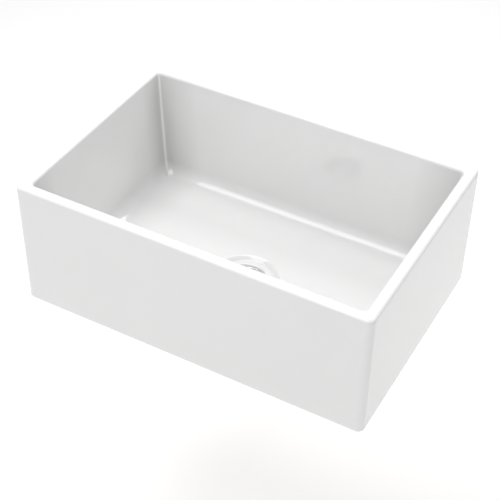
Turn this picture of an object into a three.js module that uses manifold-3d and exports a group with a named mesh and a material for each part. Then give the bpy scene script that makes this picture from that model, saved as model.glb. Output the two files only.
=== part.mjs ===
// Farmhouse apron-front sink: a fireclay basin and the basket-strainer waste in its floor.
// Millimetres, +Z up. The origin is the centre of the basin's underside, and the apron
// front faces -Y. The waste hangs below the basin, in the hole that its floor holds.

import * as THREE from 'three';
import { mergeVertices } from 'three/addons/utils/BufferGeometryUtils.js';
import Module from 'manifold-3d';

const wasm = await Module();
wasm.setup();

// ---------------------------------------------------------------- driving dimensions

// Basin
const basinLength = 686;
const basinWidth = 457;
const basinHeight = 260;
const rimWall = 21.5;            // thickness of the walls at the rim
const wallDraft = 2;             // degrees that the well's long sides lean inwards, going down
const endDraft = 4;              // the same for its two ends
const rimEdgeRadius = 7;
const baseEdgeRadius = 6;
const outerCornerRadius = 12;
const innerCornerRadius = 9;     // upright corners of the well
const floorCornerRadius = 20;    // the same corners where they reach the floor
const coveRadius = 24;           // sweep from the walls into the floor
const floorThickness = 33;       // at the foot of the cove
const floorFall = 2;             // drop of the floor towards the outlet
const drainSetback = -17;        // y of the outlet's axis
const drainHoleRadius = 45;
const drainHoleRounding = 2;
const dishDepth = 5.5;           // hollow that takes the strainer's flange
const dishSlope = 11.5;          // width of the dish's sloping side
const nutRoom = 6;               // clear underside round the locknut

// Clearances
const fit = 0.3;                 // between pieces that seat on, run in or pass each other
const threadAllowance = 2.4;     // threaded wall inside the basin's hole
const seatMargin = 1.5;          // dish floor that shows round the flange

// Strainer body, seals and nuts
const flangeCover = 12;          // how far the flange laps the hole's edge
const flangeThickness = 2;
const bodySheet = 1.5;
const mouthDepth = 10;           // tapered seat that the basket's rim rests in
const mouthTaper = 2.2;          // how much wider the seat is at its top
const cupCornerRadius = 8;
const flangeSealThickness = 1.5;
const gasketThickness = 5;
const gasketWidth = 14;
const frictionRingThickness = 1.2;
const locknutHeight = 13;
const locknutWall = 8;
const locknutLugs = 8;
const locknutLugReach = 8;
const locknutLugWidth = 9;

// Outlet, tailpiece and coupling nut
const tailpieceRadius = 19.05;
const tailpieceWall = 1.2;
const tailpieceLength = 102;
const tailpieceFlangeWidth = 3.4;
const tailpieceFlangeThickness = 2;
const spigotWall = 4.6;
const spigotLength = 30;
const spigotFlangeWidth = 4.5;
const spigotFlangeThickness = 3;
const spigotLedgeDepth = 9;      // from the spigot's top down to the ledge under the cross
const spigotLedgeWidth = 1.8;
const washerThickness = 2;
const crossThickness = 1.8;
const crossRingWidth = 3;
const crossArms = 4;
const crossArmWidth = 4;
const crossHubWidth = 3;
const crossHubRoom = 1.8;        // round the widest part of the post's tip
const couplingNutWall = 4.5;
const couplingNutGrip = 14;      // length of thread that the nut covers
const couplingNutLip = 3;
const couplingNutLugs = 6;
const couplingNutLugReach = 4;
const couplingNutLugWidth = 7;

// Basket
const basketSheet = 0.9;
const basketBead = 1.3;          // radius of the rolled rim
const basketRimDepth = 5;        // of the bead's centre under the flange's top
const basketDepth = 37;
const basketTaper = 6.5;         // how much narrower the wall is at its foot
const basketCornerRadius = 5;
const perforationRadius = 2.4;
const wallRows = 3;
const wallRowPitch = 8;
const wallPerforations = 16;
const floorRings = 2;
const floorRingPitch = 8;
const perforationPitch = 9;      // along each ring of the basket's floor

// Post that opens and shuts the outlet
const postRadius = 3;
const stopperStroke = 10;
const collarWall = 3.5;
const collarFlangeWidth = 3.5;
const collarFlangeThickness = 1.5;
const collarHeight = 9;          // tube of the collar above the basket's floor
const detentThickness = 1.7;
const knobRadius = 9.5;
const knobHeight = 13;
const knobStemRadius = 5.5;
const knobClearance = 1;         // left over the collar when the post is down
const plateRadius = 16;
const plateThickness = 1.5;
const stopperOverlap = 6;        // rubber that laps the outlet's edge
const stopperThickness = 5;
const stopperTaper = 1.8;        // rise of the rubber's underside from the outlet to its lip
const stopperNutRadius = 7.5;
const stopperNutHeight = 5;
const tipLength = 11;
const tipNeckRadius = 2.4;
const tipBulge = 0.8;
const tipSlot = 1.2;

// Facets
const wellCornerFacets = 9;
const largeFacets = 32;
const mediumFacets = 24;
const smallFacets = 16;
const punchFacets = 6;
const filletFacets = 4;

// ------------------------------------------------------------------- derived values

const radians = THREE.MathUtils.degToRad;

const drainAxis = new THREE.Vector2(0, drainSetback);
const dishRimZ = floorThickness - floorFall;
const seatZ = dishRimZ - dishDepth;
const flangeRadius = drainHoleRadius + flangeCover;
const seatRadius = flangeRadius + seatMargin;
const dishRadius = seatRadius + dishSlope;

const flangeUnderZ = seatZ + fit + flangeSealThickness + fit;
const flangeTopZ = flangeUnderZ + flangeThickness;
const threadRadius = drainHoleRadius - threadAllowance;
const locknutRadius = threadRadius + fit + locknutWall;
const cupRadius = threadRadius - bodySheet;
const mouthRadius = cupRadius + mouthTaper;
const mouthTopZ = flangeTopZ - 3;
const mouthFootZ = mouthTopZ - mouthDepth;

const gasketTopZ = -fit;
const frictionRingTopZ = gasketTopZ - gasketThickness - fit;
const locknutTopZ = frictionRingTopZ - frictionRingThickness - fit;

const basketRimZ = flangeTopZ - basketRimDepth;
const mouthLean = Math.atan2(mouthTaper, mouthDepth);
const seatRadiusAtRim = cupRadius + mouthTaper * (basketRimZ - mouthFootZ) / mouthDepth;
const beadRadius = seatRadiusAtRim - (basketBead + fit) / Math.cos(mouthLean);
const basketFloorZ = basketRimZ - basketDepth;
const basketTopRadius = beadRadius - basketBead / 2;
const basketFootRadius = basketTopRadius - basketTaper;

const collarRadius = postRadius + fit + collarWall;
const collarFlangeRadius = collarRadius + collarFlangeWidth;
const collarFootZ = basketFloorZ - basketSheet - fit - collarFlangeThickness;
const collarTopZ = basketFloorZ + collarHeight;
const plateTopZ = collarFootZ - fit;
const stopperTopZ = plateTopZ - plateThickness - fit;
const stopperFootZ = stopperTopZ - stopperThickness;
const stopperNutTopZ = stopperFootZ - fit;
const stopperNutFootZ = stopperNutTopZ - stopperNutHeight;
const knobFootZ = collarTopZ + stopperStroke + knobClearance;

const cupFloorZ = stopperFootZ - stopperStroke - fit;
const throatRadius = tailpieceRadius + tailpieceWall;
const spigotTopZ = cupFloorZ - bodySheet - fit;
const spigotRadius = throatRadius + spigotWall - tailpieceWall;
const spigotBore = tailpieceRadius - tailpieceWall;
const spigotFootZ = spigotTopZ - spigotLength;
const crossFootZ = spigotTopZ - spigotLedgeDepth + fit;
const tailpieceTopZ = spigotFootZ - fit - washerThickness - fit;
const tailpieceFlangeRadius = tailpieceRadius + tailpieceFlangeWidth;
const couplingLipZ = tailpieceTopZ - tailpieceFlangeThickness - fit;

// ------------------------------------------------------------------------- solids

/** Keeps only the corners of a geometry, joined where they meet. */
function weld(geometry) {
  const bare = geometry.clone();
  bare.deleteAttribute('normal');
  bare.deleteAttribute('uv');
  return mergeVertices(bare, 1e-4);
}

/** Six times the volume that a closed geometry holds; negative if it is inside out. */
function signedVolume(geometry) {
  const { index } = geometry;
  const position = geometry.getAttribute('position');
  const [a, b, c] = [new THREE.Vector3(), new THREE.Vector3(), new THREE.Vector3()];
  let sum = 0;
  for (let i = 0; i < index.count; i += 3) {
    a.fromBufferAttribute(position, index.getX(i));
    b.fromBufferAttribute(position, index.getX(i + 1));
    c.fromBufferAttribute(position, index.getX(i + 2));
    sum += a.dot(b.cross(c));
  }
  return sum;
}

/** A closed geometry with its faces pointing out. */
function closed(geometry) {
  const solid = weld(geometry);
  if (signedVolume(solid) < 0) {
    solid.index.array.reverse();
  }
  return solid;
}

function toManifold(geometry) {
  const solid = closed(geometry);
  return new wasm.Manifold(new wasm.Mesh({
    numProp: 3,
    vertProperties: Float32Array.from(solid.getAttribute('position').array),
    triVerts: Uint32Array.from(solid.index.array),
  }));
}

function fromManifold(solid) {
  const mesh = solid.getMesh();
  const geometry = new THREE.BufferGeometry();
  geometry.setAttribute('position', new THREE.BufferAttribute(mesh.vertProperties, 3));
  geometry.setIndex(new THREE.BufferAttribute(mesh.triVerts, 1));
  return geometry;
}

/** Cuts every tool from a blank in one go. */
function cut(blank, tools) {
  return fromManifold(toManifold(blank).subtract(wasm.Manifold.union(tools.map(toManifold))));
}

function join(parts) {
  return fromManifold(wasm.Manifold.union(parts.map(toManifold)));
}

/** Points of a fillet about a centre; the angles are in degrees from the radius axis. */
function arc(centreRadius, centreZ, radius, from, to, steps = filletFacets) {
  return Array.from({ length: steps + 1 }, (_, i) => {
    const angle = radians(THREE.MathUtils.lerp(from, to, i / steps));
    return [centreRadius + radius * Math.cos(angle), centreZ + radius * Math.sin(angle)];
  });
}

/** Turns a closed [radius, z] profile about the Z axis. */
function turned(profile, facets) {
  const points = profile.map(([radius, z]) => new THREE.Vector2(radius, z));
  points.push(points[0].clone());
  return closed(new THREE.LatheGeometry(points, facets).rotateX(Math.PI / 2));
}

/** A flat ring with a rectangular section. */
function ring(inner, outer, foot, top, facets) {
  return turned([[inner, foot], [outer, foot], [outer, top], [inner, top]], facets);
}

/** A ring whose outer edges are broken by a chamfer. */
function chamferedRing(inner, outer, foot, top, facets, chamfer) {
  return turned([
    [inner, foot],
    [outer - chamfer, foot],
    [outer, foot + chamfer],
    [outer, top - chamfer],
    [outer - chamfer, top],
    [inner, top],
  ], facets);
}

/** An extrusion up the Z axis, from one height to another. */
function extruded(shape, foot, top) {
  const geometry = new THREE.ExtrudeGeometry(shape, {
    depth: top - foot,
    bevelEnabled: false,
    curveSegments: filletFacets,
  });
  return closed(geometry.translate(0, 0, foot));
}

/** One loop of points round the well: a rectangle whose corners are round. Its flat sides
 *  touch the given half sizes, because the corner points lie just outside the arcs. */
function wellLoop({ x, y, corner, z, centre = 0 }) {
  const step = Math.PI / 2 / wellCornerFacets;
  const reach = corner / Math.cos(step / 2);
  const corners = [[1, 1], [-1, 1], [-1, -1], [1, -1]];
  return corners.flatMap(([sideX, sideY], quarter) =>
    Array.from({ length: wellCornerFacets }, (_, i) => {
      const angle = quarter * Math.PI / 2 + (i + 0.5) * step;
      return new THREE.Vector3(
        sideX * (x - corner) + reach * Math.cos(angle),
        centre + sideY * (y - corner) + reach * Math.sin(angle),
        z,
      );
    }));
}

/** Skins a closed run of loops that all have as many points; the last meets the first. */
function lofted(loops) {
  const size = loops[0].length;
  const geometry = new THREE.BufferGeometry().setFromPoints(loops.flat());
  const index = loops.flatMap((_, row) => {
    const next = (row + 1) % loops.length;
    return Array.from({ length: size }, (_, i) => {
      const j = (i + 1) % size;
      const [a, b] = [row * size + i, row * size + j];
      const [c, d] = [next * size + j, next * size + i];
      return [a, b, c, a, c, d];
    }).flat();
  });
  geometry.setIndex(index);
  return closed(geometry);
}

// -------------------------------------------------------------------------- basin

/** A loop at an inset from the outer faces. */
function wallLoop(inset, z, corner) {
  return { x: basinLength / 2 - inset, y: basinWidth / 2 - inset, corner, z };
}

/** A loop of the well, whose ends lean more than its long sides. */
function wellWallLoop(inset, z, corner) {
  const lean = Math.tan(radians(endDraft)) - Math.tan(radians(wallDraft));
  const loop = wallLoop(inset, z, corner);
  return { ...loop, x: loop.x - (basinHeight - z) * lean };
}

/** A round loop about the outlet's axis. */
function drainLoop(radius, z) {
  return { x: radius, y: radius, corner: radius, z, centre: drainSetback };
}

/** Blends two loops, with a ramp of its own for the height. */
function blendLoops(from, to, t, rise) {
  return {
    x: THREE.MathUtils.lerp(from.x, to.x, t),
    y: THREE.MathUtils.lerp(from.y, to.y, t),
    corner: THREE.MathUtils.lerp(from.corner, to.corner, t),
    centre: THREE.MathUtils.lerp(from.centre ?? 0, to.centre ?? 0, t),
    z: THREE.MathUtils.lerp(from.z, to.z, rise),
  };
}

/** The basin is one skin: up the outside, over the rim, down the well, across the floor
 *  to the dish, through the hole and back along the underside. */
function makeBasin() {
  const lean = radians(wallDraft);
  const insetAt = (z) => rimWall + (basinHeight - z) * Math.tan(lean);

  const baseEdge = arc(baseEdgeRadius, baseEdgeRadius, baseEdgeRadius, 270, 180)
    .map(([inset, z]) => wallLoop(inset, z, outerCornerRadius - Math.min(inset, outerCornerRadius)));

  const outerEdge = arc(rimEdgeRadius, basinHeight - rimEdgeRadius, rimEdgeRadius, 180, 90)
    .map(([inset, z]) => wallLoop(inset, z, outerCornerRadius - Math.min(inset, outerCornerRadius)));

  const innerEdgeZ = basinHeight - rimEdgeRadius + rimEdgeRadius * Math.sin(lean);
  const innerEdgeInset = insetAt(innerEdgeZ) - rimEdgeRadius * Math.cos(lean);
  const innerEdge = arc(innerEdgeInset, basinHeight - rimEdgeRadius, rimEdgeRadius, 90, wallDraft)
    .map(([inset, z]) => wellWallLoop(inset, z, innerCornerRadius + insetAt(z) - inset));

  const coveZ = floorThickness + coveRadius;
  const coveTopZ = coveZ - coveRadius * Math.sin(lean);
  const coveInset = insetAt(coveTopZ) + coveRadius * Math.cos(lean);
  const cove = arc(coveInset, coveZ, coveRadius, 180 + wallDraft, 270, 2 * filletFacets)
    .map(([inset, z]) => {
      const sweep = (coveTopZ - z) / (coveTopZ - floorThickness);
      const corner = THREE.MathUtils.lerp(innerCornerRadius, floorCornerRadius, sweep);
      return wellWallLoop(inset, z, corner);
    });

  const coveFoot = cove.at(-1);
  const dishRim = drainLoop(dishRadius, dishRimZ);
  const floorShares = [0.2, 0.45, 0.72];
  const floor = floorShares.map((t) => blendLoops(coveFoot, dishRim, t, t));

  const dish = Array.from({ length: filletFacets + 2 }, (_, i) => {
    const t = i / (filletFacets + 1);
    const drop = (1 - Math.cos(Math.PI * t)) / 2;
    return drainLoop(dishRadius - dishSlope * t, dishRimZ - dishDepth * drop);
  });

  const holeEdge = arc(drainHoleRadius + drainHoleRounding, seatZ - drainHoleRounding,
    drainHoleRounding, 90, 180, 3).map(([radius, z]) => drainLoop(radius, z));
  const holeFoot = [
    drainLoop(drainHoleRadius, drainHoleRounding),
    drainLoop(drainHoleRadius + drainHoleRounding, 0),
    drainLoop(locknutRadius + locknutLugReach + nutRoom, 0),
  ];

  const skin = [baseEdge, outerEdge, innerEdge, cove, floor, dish, holeEdge, holeFoot].flat();
  return lofted(skin.map(wellLoop));
}

// --------------------------------------------------------------- strainer and its fixings

function makeFlangeSeal() {
  const inner = drainHoleRadius + drainHoleRounding + fit;
  return ring(inner, flangeRadius - 1, seatZ + fit, seatZ + fit + flangeSealThickness, largeFacets);
}

/** A pressed cup: flange, tapered mouth, threaded wall, round corner and a holed floor. */
function makeStrainerBody() {
  const lipRadius = flangeTopZ - mouthTopZ;
  const cornerInner = cupCornerRadius - bodySheet;
  return turned([
    [flangeRadius - 1, flangeUnderZ],
    [flangeRadius, flangeUnderZ + flangeThickness / 3],
    [flangeRadius - 1.2, flangeTopZ - flangeThickness / 3],
    [mouthRadius + lipRadius + 4, flangeTopZ],
    ...arc(mouthRadius + lipRadius, mouthTopZ, lipRadius, 90, 180),
    [cupRadius, mouthFootZ],
    ...arc(cupRadius - cornerInner, cupFloorZ + cornerInner, cornerInner, 0, -90),
    [throatRadius + 1, cupFloorZ],
    [throatRadius, cupFloorZ - 0.5],
    [throatRadius, cupFloorZ - bodySheet],
    ...arc(threadRadius - cupCornerRadius, cupFloorZ - bodySheet + cupCornerRadius,
      cupCornerRadius, -90, 0),
    [threadRadius, mouthFootZ],
    [mouthRadius + bodySheet - 0.2, flangeUnderZ - bodySheet],
    [mouthRadius + bodySheet + 1, flangeUnderZ],
  ], largeFacets);
}

function makeLowerGasket() {
  const inner = threadRadius + fit;
  const top = gasketTopZ;
  return chamferedRing(inner, inner + gasketWidth, top - gasketThickness, top, largeFacets, 1);
}

function makeFrictionRing() {
  const inner = threadRadius + fit;
  const foot = frictionRingTopZ - frictionRingThickness;
  return ring(inner, inner + gasketWidth - 1, foot, frictionRingTopZ, largeFacets);
}

/** One driving lug of a nut, on the X axis, with a round nose. */
function lugShape(root, reach, width) {
  const shape = new THREE.Shape();
  const nose = width / 2;
  shape.moveTo(root, -width / 2);
  shape.lineTo(root + reach, -width / 2);
  shape.absarc(root + reach, 0, nose, -Math.PI / 2, Math.PI / 2, false);
  shape.lineTo(root, width / 2);
  shape.closePath();
  return shape;
}

/** Joins a nut's turned wall to the lugs that a wrench or a hand turns it by. */
function luggedNut(wall, { count, root, reach, width, foot, top }) {
  const lug = extruded(lugShape(root - 1.5, 1.5 + reach - width / 2, width), foot, top);
  const lugs = Array.from({ length: count }, (_, i) => lug.clone().rotateZ(2 * Math.PI * i / count));
  return join([wall, ...lugs]);
}

function makeLocknut() {
  const inner = threadRadius + fit;
  const outer = inner + locknutWall;
  const foot = locknutTopZ - locknutHeight;
  const wall = turned([
    [inner, foot],
    [outer - 2, foot],
    [outer, foot + 3],
    [outer, locknutTopZ - 3],
    [outer + 3, locknutTopZ - 2],
    [outer + 3, locknutTopZ],
    [inner, locknutTopZ],
  ], largeFacets);
  return luggedNut(wall, {
    count: locknutLugs,
    root: outer,
    reach: locknutLugReach,
    width: locknutLugWidth,
    foot: foot + 1.5,
    top: locknutTopZ - 1,
  });
}

// ------------------------------------------------------------- outlet and tailpiece

/** The threaded outlet: a flange under the cup, a rebate for the cross, then the thread. */
function makeOutletSpigot() {
  const rebate = spigotBore + spigotLedgeWidth;
  const ledgeZ = spigotTopZ - spigotLedgeDepth;
  const flangeFoot = spigotTopZ - spigotFlangeThickness;
  return turned([
    [rebate, spigotTopZ],
    [rebate, ledgeZ],
    [spigotBore, ledgeZ],
    [spigotBore, spigotFootZ],
    [spigotRadius - 1, spigotFootZ],
    [spigotRadius, spigotFootZ + 1],
    [spigotRadius, flangeFoot],
    [spigotRadius + spigotFlangeWidth, flangeFoot],
    [spigotRadius + spigotFlangeWidth, spigotTopZ],
  ], mediumFacets);
}

/** A pressed cross: a rim on the ledge, arms, and a hub with the hole for the tip. */
function makeOutletCross() {
  const rim = spigotBore + spigotLedgeWidth - fit;
  const hole = tipNeckRadius + tipBulge + crossHubRoom;
  const hub = hole + crossHubWidth;
  const top = crossFootZ + crossThickness;
  const inner = rim - crossRingWidth;
  const arm = new THREE.BoxGeometry(inner - hub + 2, crossArmWidth, crossThickness);
  arm.translate((inner + hub) / 2, 0, crossFootZ + crossThickness / 2);
  const arms = Array.from({ length: crossArms }, (_, i) =>
    arm.clone().rotateZ(2 * Math.PI * (i + 0.5) / crossArms));
  return join([
    ring(inner, rim, crossFootZ, top, mediumFacets),
    ring(hole, hub, crossFootZ, top, smallFacets),
    ...arms,
  ]);
}

function makeTailpieceWasher() {
  const top = spigotFootZ - fit;
  return ring(spigotBore, tailpieceFlangeRadius, top - washerThickness, top, mediumFacets);
}

function makeTailpiece() {
  const foot = tailpieceTopZ - tailpieceLength;
  const bore = tailpieceRadius - tailpieceWall;
  return turned([
    [bore, foot],
    [tailpieceRadius, foot],
    [tailpieceRadius, tailpieceTopZ - tailpieceFlangeThickness],
    [tailpieceFlangeRadius, tailpieceTopZ - tailpieceFlangeThickness],
    [tailpieceFlangeRadius, tailpieceTopZ],
    [bore, tailpieceTopZ],
  ], mediumFacets);
}

/** A slip nut: it covers the spigot's thread and lifts the tailpiece's flange by its lip. */
function makeCouplingNut() {
  const inner = Math.max(spigotRadius, tailpieceFlangeRadius) + fit;
  const outer = inner + couplingNutWall;
  const top = spigotFootZ + couplingNutGrip;
  const foot = couplingLipZ - couplingNutLip;
  const wall = turned([
    [tailpieceRadius + fit, foot],
    [outer - 2, foot],
    [outer, foot + 2],
    [outer, top - 1],
    [outer - 1, top],
    [inner, top],
    [inner, couplingLipZ],
    [tailpieceRadius + fit, couplingLipZ],
  ], mediumFacets);
  return luggedNut(wall, {
    count: couplingNutLugs,
    root: outer,
    reach: couplingNutLugReach,
    width: couplingNutLugWidth,
    foot: foot + 2,
    top: top - 2,
  });
}

// -------------------------------------------------------------------------- basket

/** A pressed cup with a rolled rim and a hole for the collar, before it is perforated. */
function basketBlank() {
  const corner = basketCornerRadius;
  const foot = basketFootRadius - corner;
  const holeRadius = collarRadius + fit;
  const underZ = basketFloorZ - basketSheet;
  return turned([
    [holeRadius, underZ],
    ...arc(foot, underZ + corner, corner, -90, 0),
    ...arc(beadRadius, basketRimZ, basketBead, -60, 180, 6),
    ...arc(foot, underZ + corner, corner - basketSheet, 0, -90),
    [holeRadius, basketFloorZ],
  ], largeFacets);
}

/** A punch that cuts one perforation, standing on the origin. */
function punch() {
  return new THREE.CylinderGeometry(perforationRadius, perforationRadius, 12, punchFacets);
}

/** Rows of holes round the wall, each row turned by half a pitch from the last. */
function wallPunches() {
  const spacing = 2 * Math.PI / wallPerforations;
  const lowestZ = basketFloorZ + basketCornerRadius + perforationRadius;
  return Array.from({ length: wallRows * wallPerforations }, (_, i) => {
    const row = Math.floor(i / wallPerforations);
    const z = lowestZ + row * wallRowPitch;
    const rise = (z - basketFloorZ) / (basketRimZ - basketFloorZ);
    const radius = THREE.MathUtils.lerp(basketFootRadius, basketTopRadius, rise);
    const turn = Math.PI / largeFacets + (i + row / 2) * spacing;
    return punch().rotateZ(Math.PI / 2).translate(radius, 0, z).rotateZ(turn);
  });
}

/** Rings of holes in the basket's floor, round the collar. */
function floorPunches() {
  const innermost = collarFlangeRadius + perforationRadius + 1;
  return Array.from({ length: floorRings }, (_, row) => {
    const radius = innermost + row * floorRingPitch;
    const count = Math.round(2 * Math.PI * radius / perforationPitch);
    return Array.from({ length: count }, (_, i) =>
      punch().rotateX(Math.PI / 2).translate(radius, 0, basketFloorZ)
        .rotateZ(2 * Math.PI * (i + row / 2) / count));
  }).flat();
}

function makeBasketShell() {
  return cut(basketBlank(), [...wallPunches(), ...floorPunches()]);
}

/** A spool riveted through the basket's floor, with a groove for the ring that grips. */
function makeBasketCollar() {
  const bore = postRadius + fit;
  const groove = bore + detentThickness + fit;
  const grooveZ = collarTopZ - 2 - detentThickness;
  const flangeZ = basketFloorZ + fit;
  return turned([
    [bore, collarFootZ],
    [collarFlangeRadius, collarFootZ],
    [collarFlangeRadius, collarFootZ + collarFlangeThickness],
    [collarRadius, collarFootZ + collarFlangeThickness],
    [collarRadius, flangeZ],
    [collarFlangeRadius, flangeZ],
    [collarFlangeRadius, flangeZ + collarFlangeThickness],
    [collarRadius, flangeZ + collarFlangeThickness],
    [collarRadius, collarTopZ - 0.8],
    [collarRadius - 0.8, collarTopZ],
    [bore, collarTopZ],
    [bore, grooveZ + detentThickness + fit],
    [groove, grooveZ + detentThickness + fit],
    [groove, grooveZ - fit],
    [bore, grooveZ - fit],
  ], smallFacets);
}

/** The rubber ring that grips the post, so that it stays where it is put. */
function makeDetentRing() {
  const centre = postRadius + fit + detentThickness / 2;
  const centreZ = collarTopZ - 2 - detentThickness / 2;
  return turned(arc(centre, centreZ, detentThickness / 2, 0, 315, 7), smallFacets);
}

// ---------------------------------------------------------------------------- post

/** The knob sits on the rod's top end, which reaches into a blind hole under it. */
function makeLiftKnob() {
  const bore = postRadius + fit;
  const top = knobFootZ + knobHeight;
  const crown = 3;
  return turned([
    [0, top],
    [knobRadius * 0.55, top - 0.6],
    ...arc(knobRadius - crown, top - crown - 1, crown, 60, -60),
    [knobStemRadius + 1, top - 2 * crown - 2],
    [knobStemRadius, top - 2 * crown - 4],
    [knobStemRadius, knobFootZ],
    [bore, knobFootZ],
    [bore, top - crown - 2 + fit],
    [0, top - crown - 2 + fit],
  ], mediumFacets);
}

function makePostRod() {
  const top = knobFootZ + knobHeight - 5;
  return turned([
    [0, stopperNutFootZ],
    [postRadius, stopperNutFootZ],
    [postRadius, top - 0.6],
    [postRadius - 0.6, top],
    [0, top],
  ], smallFacets);
}

function makeStopperPlate() {
  const foot = plateTopZ - plateThickness;
  return chamferedRing(postRadius + fit, plateRadius, foot, plateTopZ, mediumFacets, 0.5);
}

/** A rubber disc, thick at its hub, whose underside tapers up to a thin lip. */
function makeStopperSeal() {
  const outer = throatRadius + stopperOverlap;
  const inner = postRadius + fit;
  const lipFootZ = stopperFootZ + stopperTaper;
  return turned([
    [inner, stopperFootZ],
    [throatRadius, stopperFootZ],
    [outer, lipFootZ],
    [outer, lipFootZ + 0.7],
    [outer - 1.5, lipFootZ + 1.4],
    [plateRadius + 1, stopperTopZ],
    [inner, stopperTopZ],
  ], mediumFacets);
}

function makeStopperNut() {
  const hexagon = new THREE.CylinderGeometry(stopperNutRadius, stopperNutRadius,
    stopperNutHeight, 6).rotateX(Math.PI / 2);
  hexagon.translate(0, 0, (stopperNutTopZ + stopperNutFootZ) / 2);
  const bore = new THREE.CylinderGeometry(postRadius + fit, postRadius + fit,
    2 * stopperNutHeight, smallFacets).rotateX(Math.PI / 2);
  bore.translate(0, 0, (stopperNutTopZ + stopperNutFootZ) / 2);
  return cut(hexagon, [bore]);
}

/** A split nylon tip: its swelling snaps through the cross when the post goes down. */
function makeSnapTip() {
  const top = stopperNutFootZ - fit;
  const foot = top - tipLength;
  const swell = tipNeckRadius + tipBulge;
  const blank = turned([
    [0, top],
    [postRadius, top],
    [postRadius, top - 1.5],
    [tipNeckRadius, top - 2.5],
    [tipNeckRadius, foot + 5],
    [swell, foot + 3.2],
    [swell, foot + 2.4],
    [tipNeckRadius - 0.6, foot],
    [0, foot],
  ], smallFacets);
  const slot = new THREE.BoxGeometry(tipSlot, 4 * swell, tipLength);
  slot.translate(0, 0, foot - tipLength / 2 + 7);
  return cut(blank, [slot]);
}

// ------------------------------------------------------------------------ finishes

function finish(color, roughness, metalness) {
  return { color, roughness, metalness };
}

const glaze = finish(0xf4f4f2, 0.12, 0);
const steel = finish(0xc4c6c8, 0.22, 1);
const satinSteel = finish(0xb2b4b6, 0.38, 1);
const zinc = finish(0x9c9fa2, 0.5, 1);
const blackRubber = finish(0x1d1d1e, 0.8, 0);
const fibre = finish(0xa5855c, 0.9, 0);
const nylon = finish(0xeae8e0, 0.5, 0);

function piece(name, geometry, look) {
  geometry.computeVertexNormals();
  const mesh = new THREE.Mesh(geometry, new THREE.MeshStandardMaterial(look));
  mesh.name = name;
  return mesh;
}

// ------------------------------------------------------------------------ assembly

const basket = new THREE.Group();
basket.add(
  piece('basket_shell', makeBasketShell(), satinSteel),
  piece('basket_collar', makeBasketCollar(), steel),
  piece('detent_ring', makeDetentRing(), blackRubber),
);

const post = new THREE.Group();
post.add(
  piece('lift_knob', makeLiftKnob(), steel),
  piece('post_rod', makePostRod(), steel),
  piece('stopper_plate', makeStopperPlate(), satinSteel),
  piece('stopper_seal', makeStopperSeal(), blackRubber),
  piece('stopper_nut', makeStopperNut(), steel),
  piece('snap_tip', makeSnapTip(), nylon),
);

const waste = new THREE.Group();
waste.position.set(drainAxis.x, drainAxis.y, 0);
waste.add(
  piece('flange_seal', makeFlangeSeal(), blackRubber),
  piece('strainer_body', makeStrainerBody(), steel),
  piece('lower_gasket', makeLowerGasket(), blackRubber),
  piece('friction_ring', makeFrictionRing(), fibre),
  piece('locknut', makeLocknut(), zinc),
  piece('outlet_spigot', makeOutletSpigot(), zinc),
  piece('outlet_cross', makeOutletCross(), satinSteel),
  piece('tailpiece_washer', makeTailpieceWasher(), nylon),
  piece('tailpiece', makeTailpiece(), steel),
  piece('coupling_nut', makeCouplingNut(), zinc),
  basket,
  post,
);

const sink = new THREE.Group();
sink.add(piece('basin', makeBasin(), glaze), waste);

export default sink;
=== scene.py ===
"""A farmhouse apron-front sink in white fireclay, with its basket-strainer waste.

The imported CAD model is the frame. Each sub-assembly below is a class that takes its
place and outer sizes from the frame, builds its finished pieces around it and dresses
them. Metres throughout, in the frame's own axes: the apron front faces -Y, and +Z is up.
"""

import logging
import math
from collections.abc import Iterable, Sequence
from dataclasses import dataclass, field
from enum import Enum

import bmesh
import bpy
from mathutils import Matrix, Quaternion, Vector


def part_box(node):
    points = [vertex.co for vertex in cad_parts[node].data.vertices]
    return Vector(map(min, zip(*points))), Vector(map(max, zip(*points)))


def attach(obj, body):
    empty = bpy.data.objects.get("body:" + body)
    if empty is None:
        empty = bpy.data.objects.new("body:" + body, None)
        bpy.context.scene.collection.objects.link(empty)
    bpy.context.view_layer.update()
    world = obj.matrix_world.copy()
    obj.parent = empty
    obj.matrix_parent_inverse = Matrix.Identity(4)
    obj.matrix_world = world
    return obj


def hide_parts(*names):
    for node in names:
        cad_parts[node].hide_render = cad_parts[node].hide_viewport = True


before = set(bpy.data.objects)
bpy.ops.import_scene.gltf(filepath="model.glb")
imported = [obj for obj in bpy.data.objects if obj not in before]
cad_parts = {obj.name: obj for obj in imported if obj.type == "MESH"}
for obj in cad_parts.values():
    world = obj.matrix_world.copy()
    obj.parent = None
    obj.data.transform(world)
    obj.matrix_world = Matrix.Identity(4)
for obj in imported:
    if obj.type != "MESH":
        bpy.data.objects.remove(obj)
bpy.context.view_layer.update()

LOG = logging.getLogger("sink")

BASIN_BODY = "basin_and_waste"
BASKET_BODY = "basket"
POST_BODY = "stopper_post"

Point = tuple[float, float]
Triple = tuple[float, float, float]
Color = Triple
Socket = bpy.types.NodeSocket
Feed = Socket | float | Sequence[float]

FULL_TURN = 2 * math.pi
SHARP_ANGLE = math.radians(38)
NEARLY_STRAIGHT = math.radians(178)
ROUND_STEPS = 144
SMALL_ROUND_STEPS = 64
FILLET_STEPS = 5
SIDE_SHARE = 0.48  # of a side, the most that one fillet takes
SUPPORT_SHARE = 0.2  # of a side, the most that lies beyond a support point
WELD = 1e-6
HOLE_RADIUS = 0.045  # of the drain hole through the basin
THROAT_RADIUS = 0.02025  # of the outlet in the cup's floor
ROD_RADIUS = 0.003  # of the stopper's post
FIT = 0.0003  # the play between pieces that slide or screw together
# Names of the basin's vertex marks: where the glaze gets a painted highlight, and where it gets
# painted shade beside the upright corners.
PAINTED_HIGHLIGHT_MARK = "painted_highlight"
SHADE_MARK = "corner_shade"


# ----------------------------------------------------------------- places in the frame


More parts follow.
